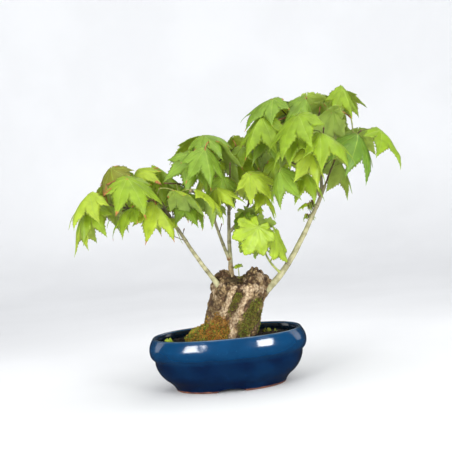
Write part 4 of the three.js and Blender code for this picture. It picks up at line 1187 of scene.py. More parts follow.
def make_leaf(draws, start, out, ahead, mass):
    def draw(name):
        return draws.between(*DRAWN[name])

    lean = unit(out * draw("out") + ahead * draw("ahead") + UP * draw("up"))
    length = mass["stalk"] * draw("stalk")
    sag = length * draw("sag")
    elbow, foot = start + lean * ELBOW * length + UP * sag, start + lean * length - UP * sag
    level = unit(lean * (1, 1, 0))
    s, c = sin_cos(draw("turn"))
    level = np.array([level[0] * c - level[1] * s, level[0] * s + level[1] * c, 0])
    down = draw("young_droop" if mass["young"] else "droop")
    axis, normal = turned_axes(level, UP, -down)
    side, normal = turned_axes(np.cross(axis, normal), normal, draw("roll"))
    curl = (math.radians(HANGING) - math.radians(down)) * draw("curl")
    return {"size": mass["blade"] * draw("size"), "fold": math.radians(draw("fold")), "tone": draws.next(),
            "rust": draws.next(), "node": start, "elbow": elbow, "foot": foot, "axis": axis, "side": side,
            "normal": normal, "curl": curl, "young": mass["young"]}


print("numbers drawn for a leaf:", len(DRAWN) + 1)

# %% [markdown]
# To see whether a leaf has room, we lay points along its stalk and over its lobes, and look for
# anything near them that is taken. Distances are only measured to points inside the new leaf's own
# box, which keeps it quick.

# %% Room for a leaf
LINE_STEP, PROBE_STEP = 3, 0.085


def probe_points():
    """Flat points along and across each lobe, to test a blade's place by."""
    points = [(0, 0)]
    for degrees, reach in LOBES:
        s, c = sin_cos(degrees)
        steps = max(2, math.ceil(reach / PROBE_STEP))
        for share in (i / steps for i in range(1, steps + 1)):
            taper = share / LOBE_WIDEST if share < LOBE_WIDEST else (1 - share) / (1 - LOBE_WIDEST)
            for part in (-1, -0.5, 0, 0.5, 1):
                far, wide = reach * share, part * lobe_half(reach) * taper
                points.append((far * s + wide * c, far * c - wide * s))
    return np.array(points)


def line_points(a, b):
    return a + np.linspace(0, 1, max(2, int(span(a, b) / LINE_STEP) + 1))[:, None] * (b - a)


def touches(points, others, reach):
    if not len(points):
        return False
    close = others[((others > points.min(0) - reach) & (others < points.max(0) + reach)).all(1)]
    return len(close) > 0 and bool((((points[:, None] - close) ** 2).sum(2) < reach * reach).any())


PROBES = probe_points()
print("points to test a blade by:", len(PROBES))

# %% [markdown]
# A mass grows its side twigs, and then its leaves pair by pair. A leaf that would touch anything is
# drawn again, up to twelve times, and then left out.

# %% Growing a mass
TRIES, BLADE_ROOM, STALK_ROOM, OWN_ROOM, FIRST_PAIR = 12, 2.9, 2.2, 2, 0.45


def frame_at(shoot, share):
    ahead = heading(*shoot[:3], share)
    across = unit(np.cross(ahead, (0.013, 0.007, 1)))
    over = np.cross(ahead, across)
    return ahead, lambda angle: across * math.cos(angle) + over * math.sin(angle)


def grow(mass, taken):
    """Grows a mass. Returns its shoots, its leaves, and the points that they take."""
    draws = Draws(mass["seed"])
    first = math.radians(draws.between(0, 360))
    straight = np.zeros(3)
    shoots = [(mass["foot"], mass["tip"], straight, mass["pairs"])]
    room = mass["room"] * BLADE_ROOM
    for k in range(mass["twigs"]):
        share = draws.between(*TWIG["share"])
        start = bend(*shoots[0][:3], share)
        ahead, outward = frame_at(shoots[0], share)
        out = outward(first + (k + 0.5) * TWIG["turn"])
        lean = out * TWIG["out"] + ahead * TWIG["ahead"] + UP * TWIG["up"]
        end = start + unit(lean) * draws.between(*TWIG["length"])
        if not touches(line_points(start, end)[2:], taken, room):
            shoots.append((start, end, straight, 1))
    mine = np.concatenate([line_points(shoot[0], shoot[1]) for shoot in shoots])
    leaves = []
    for shoot in shoots:
        turn, pairs = first + math.radians(draws.between(*STRAY["start"])), shoot[3]
        for k in range(pairs):
            share = 1 if pairs == 1 else mix(FIRST_PAIR, 1, k / (pairs - 1))
            start = bend(*shoot[:3], share)
            ahead, outward = frame_at(shoot, share)
            for half in (0, 1):
                for _ in range(TRIES):
                    angle = turn + half * math.pi + math.radians(draws.between(*STRAY["leaf"]))
                    leaf = make_leaf(draws, start, outward(angle), ahead, mass)
                    blade, elbow = blade_points(leaf, PROBES), leaf["elbow"]
                    stalk = np.concatenate([line_points(start, elbow), line_points(elbow, leaf["foot"])])
                    if not (touches(blade, taken, room) or touches(blade, mine, room)
                            or touches(stalk[1:], taken, STALK_ROOM) or touches(stalk[3:], mine, OWN_ROOM)):
                        leaves.append(leaf)
                        mine = np.concatenate([mine, blade, stalk[2:]])
                        break
            turn += math.pi / 2 + math.radians(draws.between(*STRAY["pair"]))
    return shoots, leaves, mine


print("blades of a mass keep", BLADE_ROOM, "mm from all that is taken")

# %% [markdown]
# Masses grow in the order of their table. In the way of each are the limbs, the other stems, and the
# leaves of the masses before it. Finer twigs come last. How far a mass lies from its solid's box
# shows whether both grew by the same rule.

# %% All masses
LIMB_KEPT = 0.97
NOTHING_TAKEN = np.zeros((0, 3))
limb_taken = np.concatenate([curve(foot, tip, bow, max(4, int(span(foot, tip) / LINE_STEP)), LIMB_KEPT)
                             for foot, tip, bow, *_ in limbs.values()])
masses = {name: {**USUAL, **row, "foot": limbs[row["limb"]][1], "tip": np.array(row["tip"], float)}
          for name, row in MASSES.items()}
stems = {name: line_points(mass["foot"], mass["tip"])[1:] for name, mass in masses.items()}
leaf_taken = NOTHING_TAKEN
for name, mass in masses.items():
    others = [points for key, points in stems.items() if key != name]
    mass["grown"] = grow(mass, np.concatenate([limb_taken, *others, leaf_taken]))
    leaf_taken = np.concatenate([leaf_taken, mass["grown"][2]])
fine, fine_taken = {}, np.concatenate([limb_taken, leaf_taken, *stems.values()])
for name, row in FINE.items():
    mass = {**USUAL, **row, "pairs": 1, "twigs": 0, "room": FINE_ROOM, "tip": np.array(row["tip"], float),
            "foot": bend(*limbs[row["limb"]][:3], row["share"])}
    mass["grown"] = grow(mass, fine_taken)
    fine_taken = np.concatenate([fine_taken, mass["grown"][2]])
    fine[name] = mass
print("leaves on finer twigs:", sum(len(mass["grown"][1]) for mass in fine.values()))
for name, mass in masses.items():
    _, leaves, mine = mass["grown"]
    places = to_frame(mine)
    low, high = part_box(name)
    off = max(float(np.abs(places.max(0) - high).max()), float(np.abs(places.min(0) - low).max()))
    print(f"{name}: {len(leaves)} leaves, within {off / MM:.1f} mm of its solid's box")

# %% [markdown]
# ## A blade's mesh
# One flat template serves every grown leaf, and a rounder one the young leaves. Each half of a lobe is
# a strip of rows that slant from its rib out to the toothed margin, as the side veins do. Rows first
# follow the line to the notch, so that neighbouring lobes share the web between them. A young blade's
# lobes are broader, and widest further out.

# %% Half a lobe
YOUNG = {"notch": 1.62, "broad": 1.35, "widest": 0.72, "even": 0.6, "teeth": 4, "powers": (1.35, 0.95)}
WEB_ROWS, TEETH, WEB_WIDER = 4, 8, 1.17
TOOTH_TIP, TOOTH_OUT, TOOTH_FORWARD, YOUNG_TOOTH, TOOTH_SIZES = 0.62, 0.028, 0.026, 1.9, (0.7, 1.3)
LOBE_FULL, LOBE_POWERS, LOBE_SHOULDER = 1.12, (1.1, 1.35), 0.05
# Each row's points: shares of the way out to the margin. The second lies at the edge of the vein.
COLUMNS = (0.0, 0.0, 0.4, 0.7, 1.0)
VEIN_HALF, VEIN_MOST, SLANT = 0.006, 0.3, 0.75
BULGE, BULGE_FULL, SIDE_VEIN, SIDE_VEIN_FULL = (0.0, 0.001, 0.009, 0.011, 0.007), 0.1, 0.0035, 0.08


def half_lobe(lobe, notch, start, young):
    """Rows from hub to tip. Each point is [across, along, lift, share of the lobe]."""
    degrees, reach = lobe
    along = np.array(sin_cos(degrees))
    foot, half = float(notch @ along), lobe_half(reach) * (YOUNG["broad"] if young else LOBE_FULL)
    out = unit(notch - along * foot)
    narrow = float(notch @ out)
    widest = max(foot + 0.02, YOUNG["widest"] * reach) if young else foot + LOBE_SHOULDER
    half = max(half, narrow * 1.02)
    inner, outer = YOUNG["powers"] if young else LOBE_POWERS
    rows = [(along * start * share, notch * share, 0.0, 0.0) for share in np.linspace(0, 1, WEB_ROWS + 1)]
    teeth = max(2, round((YOUNG["teeth"] if young else TEETH) * reach))
    for k in range(teeth):
        for part, tooth in ((TOOTH_TIP, 1.0), (1.0, 0.0)):
            share = (k + part) / teeth
            place = mix(foot, reach, share)
            wide = (mix(narrow, half, smooth(place, foot, widest)) if place < widest
                    else half * (1 - ((place - widest) / (reach - widest)) ** inner) ** outer)
            tooth_size = YOUNG_TOOTH if young else TOOTH_SIZES[k % 2]
            reach_out = TOOTH_OUT * tooth_size * tooth * math.sqrt(wide / half)
            forward = TOOTH_FORWARD * tooth * (1 - share)
            margin = along * (place + forward) + out * (wide + reach_out)
            rows.append((along * mix(start, reach, share), margin, tooth, share))
    grid = []
    for rib, rim, tooth, share in rows:
        wide = span(rib, rim)
        for column, part in enumerate(COLUMNS):
            if column == 1:
                part = min(VEIN_MOST, VEIN_HALF * (1.2 - share) / (wide + 1e-6))
            groove = SIDE_VEIN * tooth * (column in (2, 3)) * min(1, wide / SIDE_VEIN_FULL)
            lift = BULGE[column] * min(1, wide / BULGE_FULL) - groove
            grid.append((*(rib + (rim - rib) * part), lift, share))
    return np.array(grid, float), len(rows)


middle_notch = NOTCHES[3][1] * np.array(sin_cos(NOTCHES[3][0]))
print("rows in half of the middle lobe:", half_lobe(LOBES[3], middle_notch, 0.1, False)[1])

# %% [markdown]
# A whole blade is fourteen half lobes. Where they meet, along a rib or a notch, they share their
# points, so we weld them. An edge that only one face has is the margin. A young blade has shallower
# notches and lobes of more even length.

# %% A whole blade


def strips(young):
    """The half lobes of a whole blade: their points, faces, and which faces are vein."""
    grids, faces, veins, count = [], [], [], 0
    widened = YOUNG["notch"] if young else WEB_WIDER
    ends = [(sign * 180, -BLADE_FOOT) for sign in (-1, 1)]
    notches = [reach * np.array(sin_cos(degrees)) for degrees, reach in
               [ends[0], *((degrees, min(1, reach * widened)) for degrees, reach in NOTCHES), ends[1]]]
    for place, (degrees, reach) in enumerate(LOBES):
        lobe, pair = (degrees, reach ** (YOUNG["even"] if young else 1)), notches[place:place + 2]
        along = np.array(sin_cos(degrees))
        feet = [(float(notch @ along), span(along * (notch @ along), notch)) for notch in pair]
        start = max(0.2 * min(q for q, _ in feet), min(q - SLANT * w for q, w in feet), 0.004)
        for notch in pair:
            grid, row_count = half_lobe(lobe, notch, start, young)
            for row in range(row_count - 1):
                for column in range(len(COLUMNS) - 1):
                    a = count + row * len(COLUMNS) + column
                    faces.append((a, a + 1, a + 1 + len(COLUMNS), a + len(COLUMNS)))
                    veins.append(column == 0)
            grids.append(grid)
            count += len(grid)
    return np.concatenate(grids), faces, veins


def blade_template(young):
    """Welded flat points with lift and share of the lobe; faces; if they're vein; which points are margin."""
    grid, loose_faces, loose_veins = strips(young)
    _, keep, same = np.unique(np.round(grid[:, :2], 5), axis=0, return_index=True, return_inverse=True)
    welded, faces, veins = grid[keep], [], []
    for face, vein in zip(loose_faces, loose_veins):
        ids = list(dict.fromkeys(int(same[i]) for i in face))
        if len(ids) < 3:
            continue
        x, y = welded[ids, 0], welded[ids, 1]
        area = float((x * np.roll(y, -1) - y * np.roll(x, -1)).sum())
        faces.append(tuple(ids if area > 0 else ids[::-1]))
        veins.append(vein)
    sides = Counter(tuple(sorted(pair)) for face in faces for pair in zip(face, face[1:] + face[:1]))
    open_ends = {corner for pair, times in sides.items() if times == 1 for corner in pair}
    return welded, faces, veins, np.isin(np.arange(len(welded)), sorted(open_ends))


templates = {young: blade_template(young) for young in (False, True)}
for young, (points, faces, _, rim) in templates.items():
    print("young" if young else "grown", "blade:", len(points), "points,", len(faces), "faces a side,",
          int(rim.sum()), "points on the margin")

# %% [markdown]
# Leaf tones are dealt out by mass. Besides tone that differs at random, the masses at the front take the
# brighter tones as painted light, and those behind take the darker ones as painted shade. Each tone is a
# material of its own, and so are the veins, the paler undersides and the two colours of old lobe tips,
# because colours that have a place are plain and survive the export.

# %% Leaf tones
TONES = {"bright": rgb(146, 168, 44), "mid": rgb(124, 152, 34), "dark": rgb(104, 134, 34),
         "grey": rgb(114, 144, 44), "blue": rgb(98, 134, 44), "olive": rgb(114, 118, 34),
         "fresh": rgb(148, 174, 44), "vein": rgb(140, 164, 66), "under": rgb(136, 160, 70),
         "rust": rgb(164, 106, 58), "brown": rgb(124, 80, 44)}
# Tones for each mass: partly tone that differs at random, partly painted light on the front masses and
# painted shade on those behind.
MASS_TONES_LIGHT_AND_SHADE = {
    "shoot_leaves": ("fresh",), "left_far": ("bright", "olive", "mid"), "right_far": ("mid", "dark", "blue"),
    "right_top": ("mid", "grey", "bright"), "right_top_left": ("mid", "grey"), "left_top": ("mid", "bright"),
    "centre_left_top": ("bright", "grey"), "left_front": ("bright", "mid"), "centre_left_front": ("bright",),
    "centre_front": ("bright", "mid"), "right_low": ("mid", "bright", "grey"), "right_mid": ("mid",),
    "right_front": ("mid", "grey"), "left_inner": ("bright",), "centre_mid": ("grey",),
    "centre_right_top": ("bright", "mid", "grey"), "left_back": ("dark", "mid", "grey"),
    "centre_back": ("dark", "grey", "mid"), "right_back": ("dark", "mid", "grey"),
    "left_rust": ("olive", "mid"), "low_dark": ("dark",), "low_side": ("fresh",),
}
FINE_TONES = ("mid", "dark", "grey")
DIMMER, BRIGHTER = 0.84, 1.08
LEAF_ROUGH, UNDER_ROUGH = 0.42, 0.6
LEAF_SOCKETS = {"Specular IOR Level": 0.35, "Subsurface Weight": 0.35, "Subsurface Radius": (1.0, 1.0, 0.3),
                "Subsurface Scale": 0.002}


def leaf_finish(name, tone):
    dark, light = (tuple(c * by for c in tone[:3]) + (1.0,) for by in (DIMMER, BRIGHTER))
    roughness = UNDER_ROUGH if name == "under" else LEAF_ROUGH
    material = two_tone(f"leaf_{name}", dark, light, 9, 1.1, 0.06, roughness)
    inputs = material.node_tree.nodes["Principled BSDF"].inputs
    for key, value in LEAF_SOCKETS.items():
        inputs[key].default_value = value
    return material


leaf_finishes = [leaf_finish(name, tone) for name, tone in TONES.items()]
leaf_slots = {name: place for place, name in enumerate(TONES)}
print("leaf finishes:", len(leaf_finishes))

# %% [markdown]
# A leaf is a thin closed shell: the template bent to the leaf's place twice, once for its upper and
# once for its lower side, sharing the points of the margin. Each leaf's blade also waves a little in
# its own way, so that no two leaves repeat. Each face has its slot: vein, blade, old tip or underside.
# On many of the left side's leaves the lobe tips have turned rusty.

# %% A leaf's shell
LEAF_HALF_THICK, WAVE, WAVE_SIZE, STRAY_FLAT, YOUNG_FLAT = 0.15, 2.3, 0.3, 0.02, 0.4
# A face turns rusty, then brown, where its age passes these. Age is its share of the lobe, more on some
# lobes than on others, and ragged.
RUST_FROM, BROWN_FROM = 0.9, 1.06
RUST_LOBES, RUST_RAGGED, RUST_DEEPER = 0.5, 0.3, 0.35


def add_leaf(parts, leaf, tone, rust):
    welded, faces, veins, rim = templates[leaf["young"]]
    if leaf["young"]:
        leaf = {**leaf, "fold": leaf["fold"] * YOUNG_FLAT, "curl": leaf["curl"] * YOUNG_FLAT}
    flat, seed = welded[:, :2].copy(), leaf["tone"] * 91
    far = np.hypot(*flat.T)
    sway = rough(np.column_stack([flat, np.full(len(flat), seed)]), WAVE_SIZE, 2, seed)
    lift = welded[:, 2] * leaf["size"] + WAVE * far * sway
    stray = [rough(np.column_stack([flat, 0 * far]), WAVE_SIZE, 2, seed + shift) for shift in (11, 23)]
    flat += STRAY_FLAT * np.column_stack(stray) * smooth(far, 0, 0.3)[:, None]
    upper = blade_points(leaf, flat, lift + LEAF_HALF_THICK * ~rim)
    lower = blade_points(leaf, flat, lift - LEAF_HALF_THICK * ~rim)
    below = np.where(rim, np.arange(len(flat)), len(flat) + np.cumsum(~rim) - 1)
    round_foot = np.column_stack([np.arctan2(flat[:, 0], flat[:, 1]), 0 * far, 0 * far])
    age = welded[:, 3] + RUST_DEEPER * (rust - 1) * (rust > 1)
    age = age + rust * RUST_LOBES * rough(round_foot, 0.6, 1, seed)
    age = age + rust * RUST_RAGGED * rough(np.column_stack([flat, 0 * far]), 0.12, 2, seed + 5) - (rust == 0)
    ages = [float(age[list(face)].mean()) for face in faces]
    old = ["brown" if a > BROWN_FROM else "rust" if a > RUST_FROM else None for a in ages]
    upper_slots = [leaf_slots[worn or ("vein" if vein else tone)] for worn, vein in zip(old, veins)]
    lower_slots = [leaf_slots[worn or "under"] for worn in old]
    under_faces = [tuple(int(below[i]) for i in face[::-1]) for face in faces]
    parts.add(np.concatenate([upper, lower[~rim]]), [*faces, *under_faces], upper_slots + lower_slots)


def turned_leaf(leaf, down, spin, share):
    """The same leaf turned down about its side, then round in its own plane, and made larger or smaller."""
    axis, normal = turned_axes(leaf["axis"], leaf["normal"], -down)
    axis, side = turned_axes(axis, leaf["side"], spin)
    return {**leaf, "axis": axis, "side": side, "normal": normal, "size": leaf["size"] * share}


print("points in one leaf's shell:", sum(len(templates[False][0]) - k * int(templates[False][3].sum())
                                         for k in (0, 1)))

# %% [markdown]
# Now every leaf takes its tone, and is old at its tips or not, by numbers drawn when it grew. The low
# shoot has only just put out its leaves, which face the light, so they're turned a little more.

# %% Leaves
# The low shoot's leaves as the photograph shows them: degrees down, degrees round, share of the size.
YOUNG_SEEN = {0: (0, 0, 0.55), 1: (18, 0, 0.8), 2: (30, 42, 0.92)}
# The share of each side's leaves that are rusty at the tips, and how rusty the finer twigs' are.
RUSTY = {"left": 0.6, "centre": 0.12, "right": 0.15, "shoot": 0}
FINE_RUST, RUST_TWIG = 0.6, 1.7


def side_of(name):
    return name.split("_")[0]


shoot_leaves = masses["shoot_leaves"]["grown"][1]
for number, seen in YOUNG_SEEN.items():
    shoot_leaves[number] = turned_leaf(shoot_leaves[number], *seen)
leaf_parts = {side: Parts() for side in ("left", "centre", "right", "shoot")}
for name, mass in [*masses.items(), *fine.items()]:
    side = "shoot" if mass["young"] else side_of(mass["limb"])
    tones = MASS_TONES_LIGHT_AND_SHADE.get(name, FINE_TONES)
    for leaf in mass["grown"][1]:
        rust = float(smooth(RUSTY[side] - leaf["rust"], 0, 0.4))
        if name in fine:
            rust = RUST_TWIG if name == "left_rust" else FINE_RUST * (leaf["rust"] < RUSTY[side])
        add_leaf(leaf_parts[side], leaf, tones[int(leaf["tone"] * len(tones))], rust)
print("leaves:", sum(len(mass["grown"][1]) for mass in [*masses.values(), *fine.values()]))

# %% [markdown]
# ## Twigs and stalks
# Each mass has its stem and side twigs, and each leaf a stalk that sags and swells at both ends. The
# stalks are green to red, the stems brown. They are swept like the boughs, only with fewer sides.

# %% Stems and stalks
STEM_RADIUS, TWIG_RADIUS, STEM_STEP, STEM_TIP = 0.9, 0.7, 1.2, 0.3
STALK_RADIUS, STALK_END, STALK_FULL, YOUNG_SLIM = 0.5, 0.05, 26, 0.85
TWIG_COLOURS = {"brown": ((74, 60, 40), (122, 100, 66), 4, 0.8, 0.1, 0.6),
                "green": ((118, 126, 56), (156, 160, 84), 4, 0.8, 0.08, 0.5),
                "red": ((140, 74, 44), (182, 118, 66), 5, 0.8, 0.05, 0.45),
                "dark": ((46, 36, 28), (84, 66, 48), 4, 0.8, 0.1, 0.6)}
twig_finishes = [plain_finish(f"twig_{name}", *row) for name, row in TWIG_COLOURS.items()]
BROWN, GREEN, RED, DARK = range(4)


def stem_rod(parts, shoot, radius, finish, shift=0.0):
    """A stem, whose foot may be shifted to where its limb is drawn."""
    path = curve(*shoot[:3], max(8, int(span(*shoot[:2]) / STEM_STEP)))
    share = np.linspace(0, 1, len(path))
    drift = push(path, 11, (1, 4, 9)) * (0.5 * np.sin(share * math.pi))[:, None]
    path = path + drift + np.outer((1 - share) ** 3, np.broadcast_to(shift, 3))
    swollen = STEM_TIP * np.exp(-((1 - share) * 12) ** 2)
    rod(parts, path, radius * (1.1 - 0.35 * share) + swollen, 8, finish)


def stalk_rod(parts, leaf, finish):
    end = leaf["foot"] + leaf["axis"] * (STALK_END * leaf["size"])
    share = np.linspace(0, 1, 14)
    back, on = (1 - share)[:, None], share[:, None]
    path = leaf["node"] * back ** 2 + leaf["elbow"] * 2 * on * back + end * on ** 2
    ends = np.exp(-(share * 7) ** 2) * 0.35 + np.exp(-((1 - share) * 9) ** 2) * 0.2
    slim = min(1, leaf["size"] / STALK_FULL) * (YOUNG_SLIM if leaf["young"] else 1)
    rod(parts, path, (STALK_RADIUS + ends * 0.6) * slim, 6, finish)


print("twig finishes:", len(twig_finishes))

# %% [markdown]
# Stems are brown, side twigs and young stems green, and finer twigs dark. Some stalks are red, by the
# same draw that makes a leaf rusty.

# %% All stems and stalks
twig_parts = {side: Parts() for side in ("left", "centre", "right")}
for name, mass in [*masses.items(), *fine.items()]:
    shoots, leaves, _ = mass["grown"]
    young, shift = mass["young"], 0.0
    parts = twig_parts["centre" if young else side_of(mass["limb"])]
    red_share = 0 if young else 0.45
    if name in fine:
        red_share = 0.6
        shift = bend(*drawn_limbs[mass["limb"]][:3], mass["share"]) - mass["foot"]
    for place, shoot in enumerate(shoots):
        finish = GREEN if young or place else DARK if name in fine else BROWN
        stem_rod(parts, shoot, TWIG_RADIUS if place or name in fine else STEM_RADIUS, finish, shift)
    for leaf in leaves:
        stalk_rod(parts, leaf, RED if leaf["rust"] < red_share else GREEN)
print("stems:", sum(len(mass["grown"][0]) for mass in [*masses.values(), *fine.values()]))

# %% [markdown]
# Short twiglets stand between the leafy twigs. Each ends in a pointed bud, and on some a pair of
# leaves has just opened. They start along the limbs by the rule's own draws, and one that would
# pierce a leaf is left out. The leafy shoots end in a bud too.

# %% Twiglets and buds
TWIGLET_EVERY, TWIGLET_LONG, TWIGLET_FROM, TWIGLET_ROOM, TWIGLET_LOW = 11.0, (6, 15), 0.3, 0.8, 150
TWIGLET_OUT, TWIGLET_AHEAD, TWIGLET_UP, TWIGLET_RADIUS, TWIGLET_SEED = 0.8, 0.6, 0.3, 0.42, 40
OPENED, OPENED_BLADE, OPENED_STALK, OPENED_FRESH = 0.42, (9, 17), 4, 0.6
# A bud's rings: how far along it, and how wide.
BUD = ((0, 0.4), (0.5, 0.75), (1.1, 0.8), (1.9, 0.5), (2.7, 0.06))
TWIGLET_BUD, SHOOT_BUD = 0.85, 0.75
bud_finish = plain_finish("bud_scale", (96, 52, 34), (142, 88, 54), 2, 0.5, 0.05, 0.4)
bud_parts, opened = Parts(), 0


def bud(place, way, size):
    rod(bud_parts, [place + way * step * size for step, _ in BUD], [wide * size for _, wide in BUD], 6)


for number, name in enumerate(name for name in limbs if name != "shoot"):
    limb = drawn_limbs[name][:3]
    draws, side = Draws(number + TWIGLET_SEED), side_of(name)
    for k in range(int(span(*limb[:2]) * (1 - TWIGLET_FROM) / TWIGLET_EVERY) + 1):
        share = min(0.98, mix(TWIGLET_FROM, 1, (k + draws.next()) / (k + 2)))
        start = bend(*limb, share)
        ahead, outward = frame_at(limb, share)
        out = outward(draws.between(0, 2 * math.pi))
        lean = unit(out * TWIGLET_OUT + ahead * TWIGLET_AHEAD + UP * TWIGLET_UP)
        end = start + lean * draws.between(*TWIGLET_LONG)
        opens, blade, seed = draws.next() < OPENED, draws.between(*OPENED_BLADE), int(draws.next() * 900)
        leaf_points = fine_taken[len(limb_taken):]
        if start[2] < TWIGLET_LOW or touches(line_points(start, end)[1:], leaf_points, TWIGLET_ROOM):
            continue
        stem_rod(twig_parts[side], (start, end, np.zeros(3)), TWIGLET_RADIUS, DARK)
        bud(end, lean, TWIGLET_BUD)
        if opens:
            tiny = {**USUAL, "foot": start, "tip": end, "pairs": 1, "twigs": 0, "blade": blade,
                    "stalk": OPENED_STALK, "seed": seed, "room": 0.2}
            _, leaves, mine = grow(tiny, leaf_points)
            fine_taken, opened = np.concatenate([fine_taken, mine]), opened + len(leaves)
            for leaf in leaves:
                add_leaf(leaf_parts[side], leaf, "fresh" if leaf["tone"] < OPENED_FRESH else "bright", 0)
                stalk_rod(twig_parts[side], leaf, RED)
for mass in masses.values():
    for foot, tip, *_ in mass["grown"][0]:
        bud(tip, unit(tip - foot), SHOOT_BUD)
print("just opened leaves:", opened)

# %% [markdown]
# A branch was pruned off towards the viewer and left a stub with a pale cut face. It is one more rod,
# a little swollen at its end, whose last fan of faces shows fresh wood.

# %% The pruned stub
STUB_FOOT, STUB_TIP, STUB_RADIUS, STUB_AROUND = (-22.5, -18, 199), (-22.8, -30, 199.2), 2.2, 14
STUB_SWELL = np.array([0.8, 0.85, 0.9, 0.9, 0.92, 0.95, 1.05, 1.1, 0.95])
cut_wood = plain_finish("cut_wood", (176, 150, 112), (214, 194, 156), 1.6, 0.6, 0.1, 0.7)
stub_path = np.linspace(STUB_FOOT, STUB_TIP, len(STUB_SWELL))
stub = Parts()
rod(stub, stub_path, STUB_RADIUS * STUB_SWELL, STUB_AROUND)
stub.finishes[-2 * STUB_AROUND:] = [0, 1] * STUB_AROUND
settle(stub.make("pruned_stub", [limb_bark, cut_wood]), "stem")

# %% [markdown]
# Small seedlings grow out of the soil at both ends of the pot. They grow by the same rule, with
# nothing in their way.

# %% Seedlings
# Each: foot, tip, size of blade, seed and tone.
SEEDLINGS = [((-59, -14, 46), (-58, -15, 52), 5.5, 5, "bright"),
             ((-54, -18, 46), (-56, -19, 49), 4, 9, "bright"),
             ((43, 12, 46), (42, 11, 50), 4, 12, "olive"), ((50, 6, 46), (51, 5, 49), 3.5, 21, "olive")]
SMALL = {**USUAL, "twigs": 0, "room": 0.1, "young": True}


def small_plant(parts, foot, tip, blade, seed, tone, pairs, stalk, radius, seen=(0, 0, 1)):
    mass = {**SMALL, "foot": np.array(foot, float), "tip": np.array(tip, float), "blade": blade,
            "seed": seed, "pairs": pairs, "stalk": stalk}
    shoots, leaves, _ = grow(mass, NOTHING_TAKEN)
    for leaf in leaves:
        leaf = turned_leaf(leaf, *seen)
        add_leaf(parts, leaf, tone, 0)
        stalk_rod(parts, leaf, len(leaf_finishes))
    stem_rod(parts, shoots[0], radius, len(leaf_finishes))


small_finishes = [*leaf_finishes, twig_finishes[GREEN]]
seedlings = Parts()
for row in SEEDLINGS:
    small_plant(seedlings, *row, pairs=2, stalk=2.5, radius=0.5)
settle(seedlings.make("seedlings", small_finishes), "young_leaf")

# %% [markdown]
# All leaves of one side of the crown are one piece, which takes the place of that side's solid masses,
# and so are all its twigs and stalks. Joined, they stay few enough pieces to handle.

# %% Joining leaves and twigs
settle(bud_parts.make("buds", [bud_finish]), "stem")
for side, parts in twig_parts.items():
    settle(parts.make(f"twigs_{side}", twig_finishes), "stem")
for side, parts in leaf_parts.items():
    nodes = [name for name, mass in masses.items() if side_of(mass["limb"]) == side]
    piece = parts.make("young_leaves" if side == "shoot" else f"leaves_{side}", leaf_finishes)
    settle(piece, "young_leaf" if side == "shoot" else "leaf", *nodes)

# %% [markdown]
# A tiny pair of new leaves sits in the hollow of the stump's crown. The photograph shows them turned
# up towards the viewer.

# %% The crown's sprig
SPRIG = (18, -2, 104), (17.5, -2, 119.5), 9, 3, "fresh"
SPRIG_SEEN = (-40, 0, 0.95)
sprig = Parts()
small_plant(sprig, *SPRIG, pairs=1, stalk=2, radius=0.55, seen=SPRIG_SEEN)
settle(sprig.make("crown_sprig", small_finishes), "young_leaf", "sprig")

# %% [markdown]
# ## Stage and light
# The plant stands on a plain pale floor that curves up into a wall all round, like a studio sweep. A
# smooth line turned into rings makes both. Its colour goes with height: the floor is painted darker and
# the wall paler, painted shade and painted light that even out how brightly the lamps light them.
# Mirrored rays pass through the floor, which keeps the glaze deep.

# %% Stage
SWEEP = [(0.02, 0), (0.5, 0), (1.2, 0), (1.5, 0.03), (1.75, 0.14), (1.9, 0.36), (1.95, 0.7), (1.95, 1.7)]
SWEEP_AROUND, SWEEP_STEPS, WALL_LIGHT_FROM = 96, 5, 0.4
sweep_mesh = bpy.data.meshes.new("floor")
build = bmesh.new()
sweep_angles = np.arange(SWEEP_AROUND) / SWEEP_AROUND * 2 * math.pi
rings = [[build.verts.new((r * math.cos(a), r * math.sin(a), z)) for a in sweep_angles]
         for r, z in spline(SWEEP, SWEEP_STEPS)]
build.faces.new(rings[0])
for low_ring, high_ring in zip(rings, rings[1:]):
    for k in range(SWEEP_AROUND):
        n = (k + 1) % SWEEP_AROUND
        build.faces.new((low_ring[k], high_ring[k], high_ring[n], low_ring[n])).smooth = True
build.to_mesh(sweep_mesh)
build.free()
pale_floor, tree, principled = shader("pale_floor", 0.8)
height = node(tree, "ShaderNodeSeparateXYZ", {0: own_place(tree)}).outputs["Z"]
# Painted shade and light: the floor is darker and the wall paler, so that both look equally bright under the
# lamps.
layered(tree, principled, ((230, 231, 232), (234, 235, 236), 300, 3, None),
        ((243, 244, 245), (247, 248, 249), 300, 3, ranged(tree, height, high=WALL_LIGHT_FROM)))
bump(tree, principled, patches(tree, 2)["Height"], 0.02)
sweep_mesh.materials.append(pale_floor)
floor = in_scene("floor", sweep_mesh)
floor.visible_glossy = False
floor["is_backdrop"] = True
print("floor faces:", len(sweep_mesh.polygons))

# %% [markdown]
# Two tall soft boxes on either side of the camera give the glaze the two highlights of the photograph.
# A large one above fills the crown, one behind lights its rim, and two strips lift its sides. They
# stand on a circle round the plant and look at its middle, hidden from the camera. Two more hang by
# the wall and wash it, so that it looks as bright as the floor.

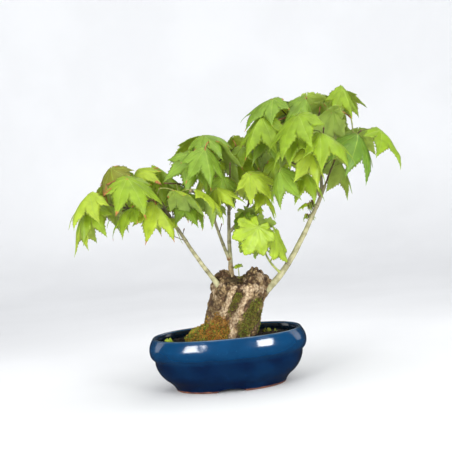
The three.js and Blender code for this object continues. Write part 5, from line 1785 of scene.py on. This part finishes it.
# %% Lights
# Each light: degrees round and up from the camera's side, metres off, size, watts, and how far it spreads.
SOFT_BOXES = {
    "left_box": (-35, 7, 1.05, (0.36, 0.56), 1.75, 90), "right_box": (36, 8, 1.05, (0.36, 0.56), 1.95, 90),
    "left_strip": (-108, 12, 1.2, (0.4, 0.8), 0.22, 90), "right_strip": (108, 12, 1.2, (0.4, 0.8), 0.22, 90),
    "top_box": (10, 74, 1.3, (1.3, 1.3), 3.5, 120), "back_box": (160, 40, 1.6, (1.2, 0.8), 0.7, 90),
}
MIDDLE = Vector((0, 0, 0.15))
WASH_OUT, WASH_HIGH, WASH_DOWN, WASH_SIZE, WASH_WATTS, ALL_ROUND = 0.9, 1.2, -0.25, (2.4, 0.5), 3.3, 180


def soft_light(name, place, away, size, watts, spread):
    """A square-edged area light at a place, which looks away from a direction."""
    light = in_scene(name, bpy.data.lights.new(name, "AREA"))
    light.data.shape, light.data.size, light.data.size_y = "RECTANGLE", *size
    light.data.energy, light.data.spread = watts, math.radians(spread)
    light.location = place
    light.rotation_euler = away.to_track_quat("Z", "Y").to_euler()
    light.visible_camera = False
    return light


for name, (azimuth, height, far, *rest) in SOFT_BOXES.items():
    (turn_sin, turn_cos), (lift_sin, lift_cos) = sin_cos(azimuth), sin_cos(height)
    way = Vector((turn_sin * lift_cos, -turn_cos * lift_cos, lift_sin))
    soft_light(name, MIDDLE + way * far, way, *rest)
for name, across in (("rear_wash", 1), ("front_wash", -1)):
    wash = soft_light(name, (0, WASH_OUT * across, WASH_HIGH), -Vector((0, across, WASH_DOWN)), WASH_SIZE,
                      WASH_WATTS, ALL_ROUND)
    wash.visible_glossy = False
print("lights:", [light.name for light in bpy.data.lights])

# %% [markdown]
# The room in front of a studio's sweep is dark, which is why glaze looks deep there. So mirrored rays
# see a dim world, while all others see an even, pale one.

# %% The world
WORLD_COLOUR, WORLD_LIGHT, WORLD_MIRRORED = (0.965, 0.968, 0.99, 1), 0.9, 0.035
world = bpy.data.worlds.new("studio")
bpy.context.scene.world = world
world.use_nodes = True
background = world.node_tree.nodes["Background"]
background.inputs["Color"].default_value = WORLD_COLOUR
mirrored = node(world.node_tree, "ShaderNodeLightPath").outputs["Is Glossy Ray"]
dimmed = ranged(world.node_tree, mirrored, start=WORLD_LIGHT, end=WORLD_MIRRORED, easing="LINEAR")
world.node_tree.links.new(dimmed, background.inputs["Strength"])
bpy.context.scene.view_settings.view_transform = "Standard"
print("world:", WORLD_LIGHT, "mirrored:", WORLD_MIRRORED)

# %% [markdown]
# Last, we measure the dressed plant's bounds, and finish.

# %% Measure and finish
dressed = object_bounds()
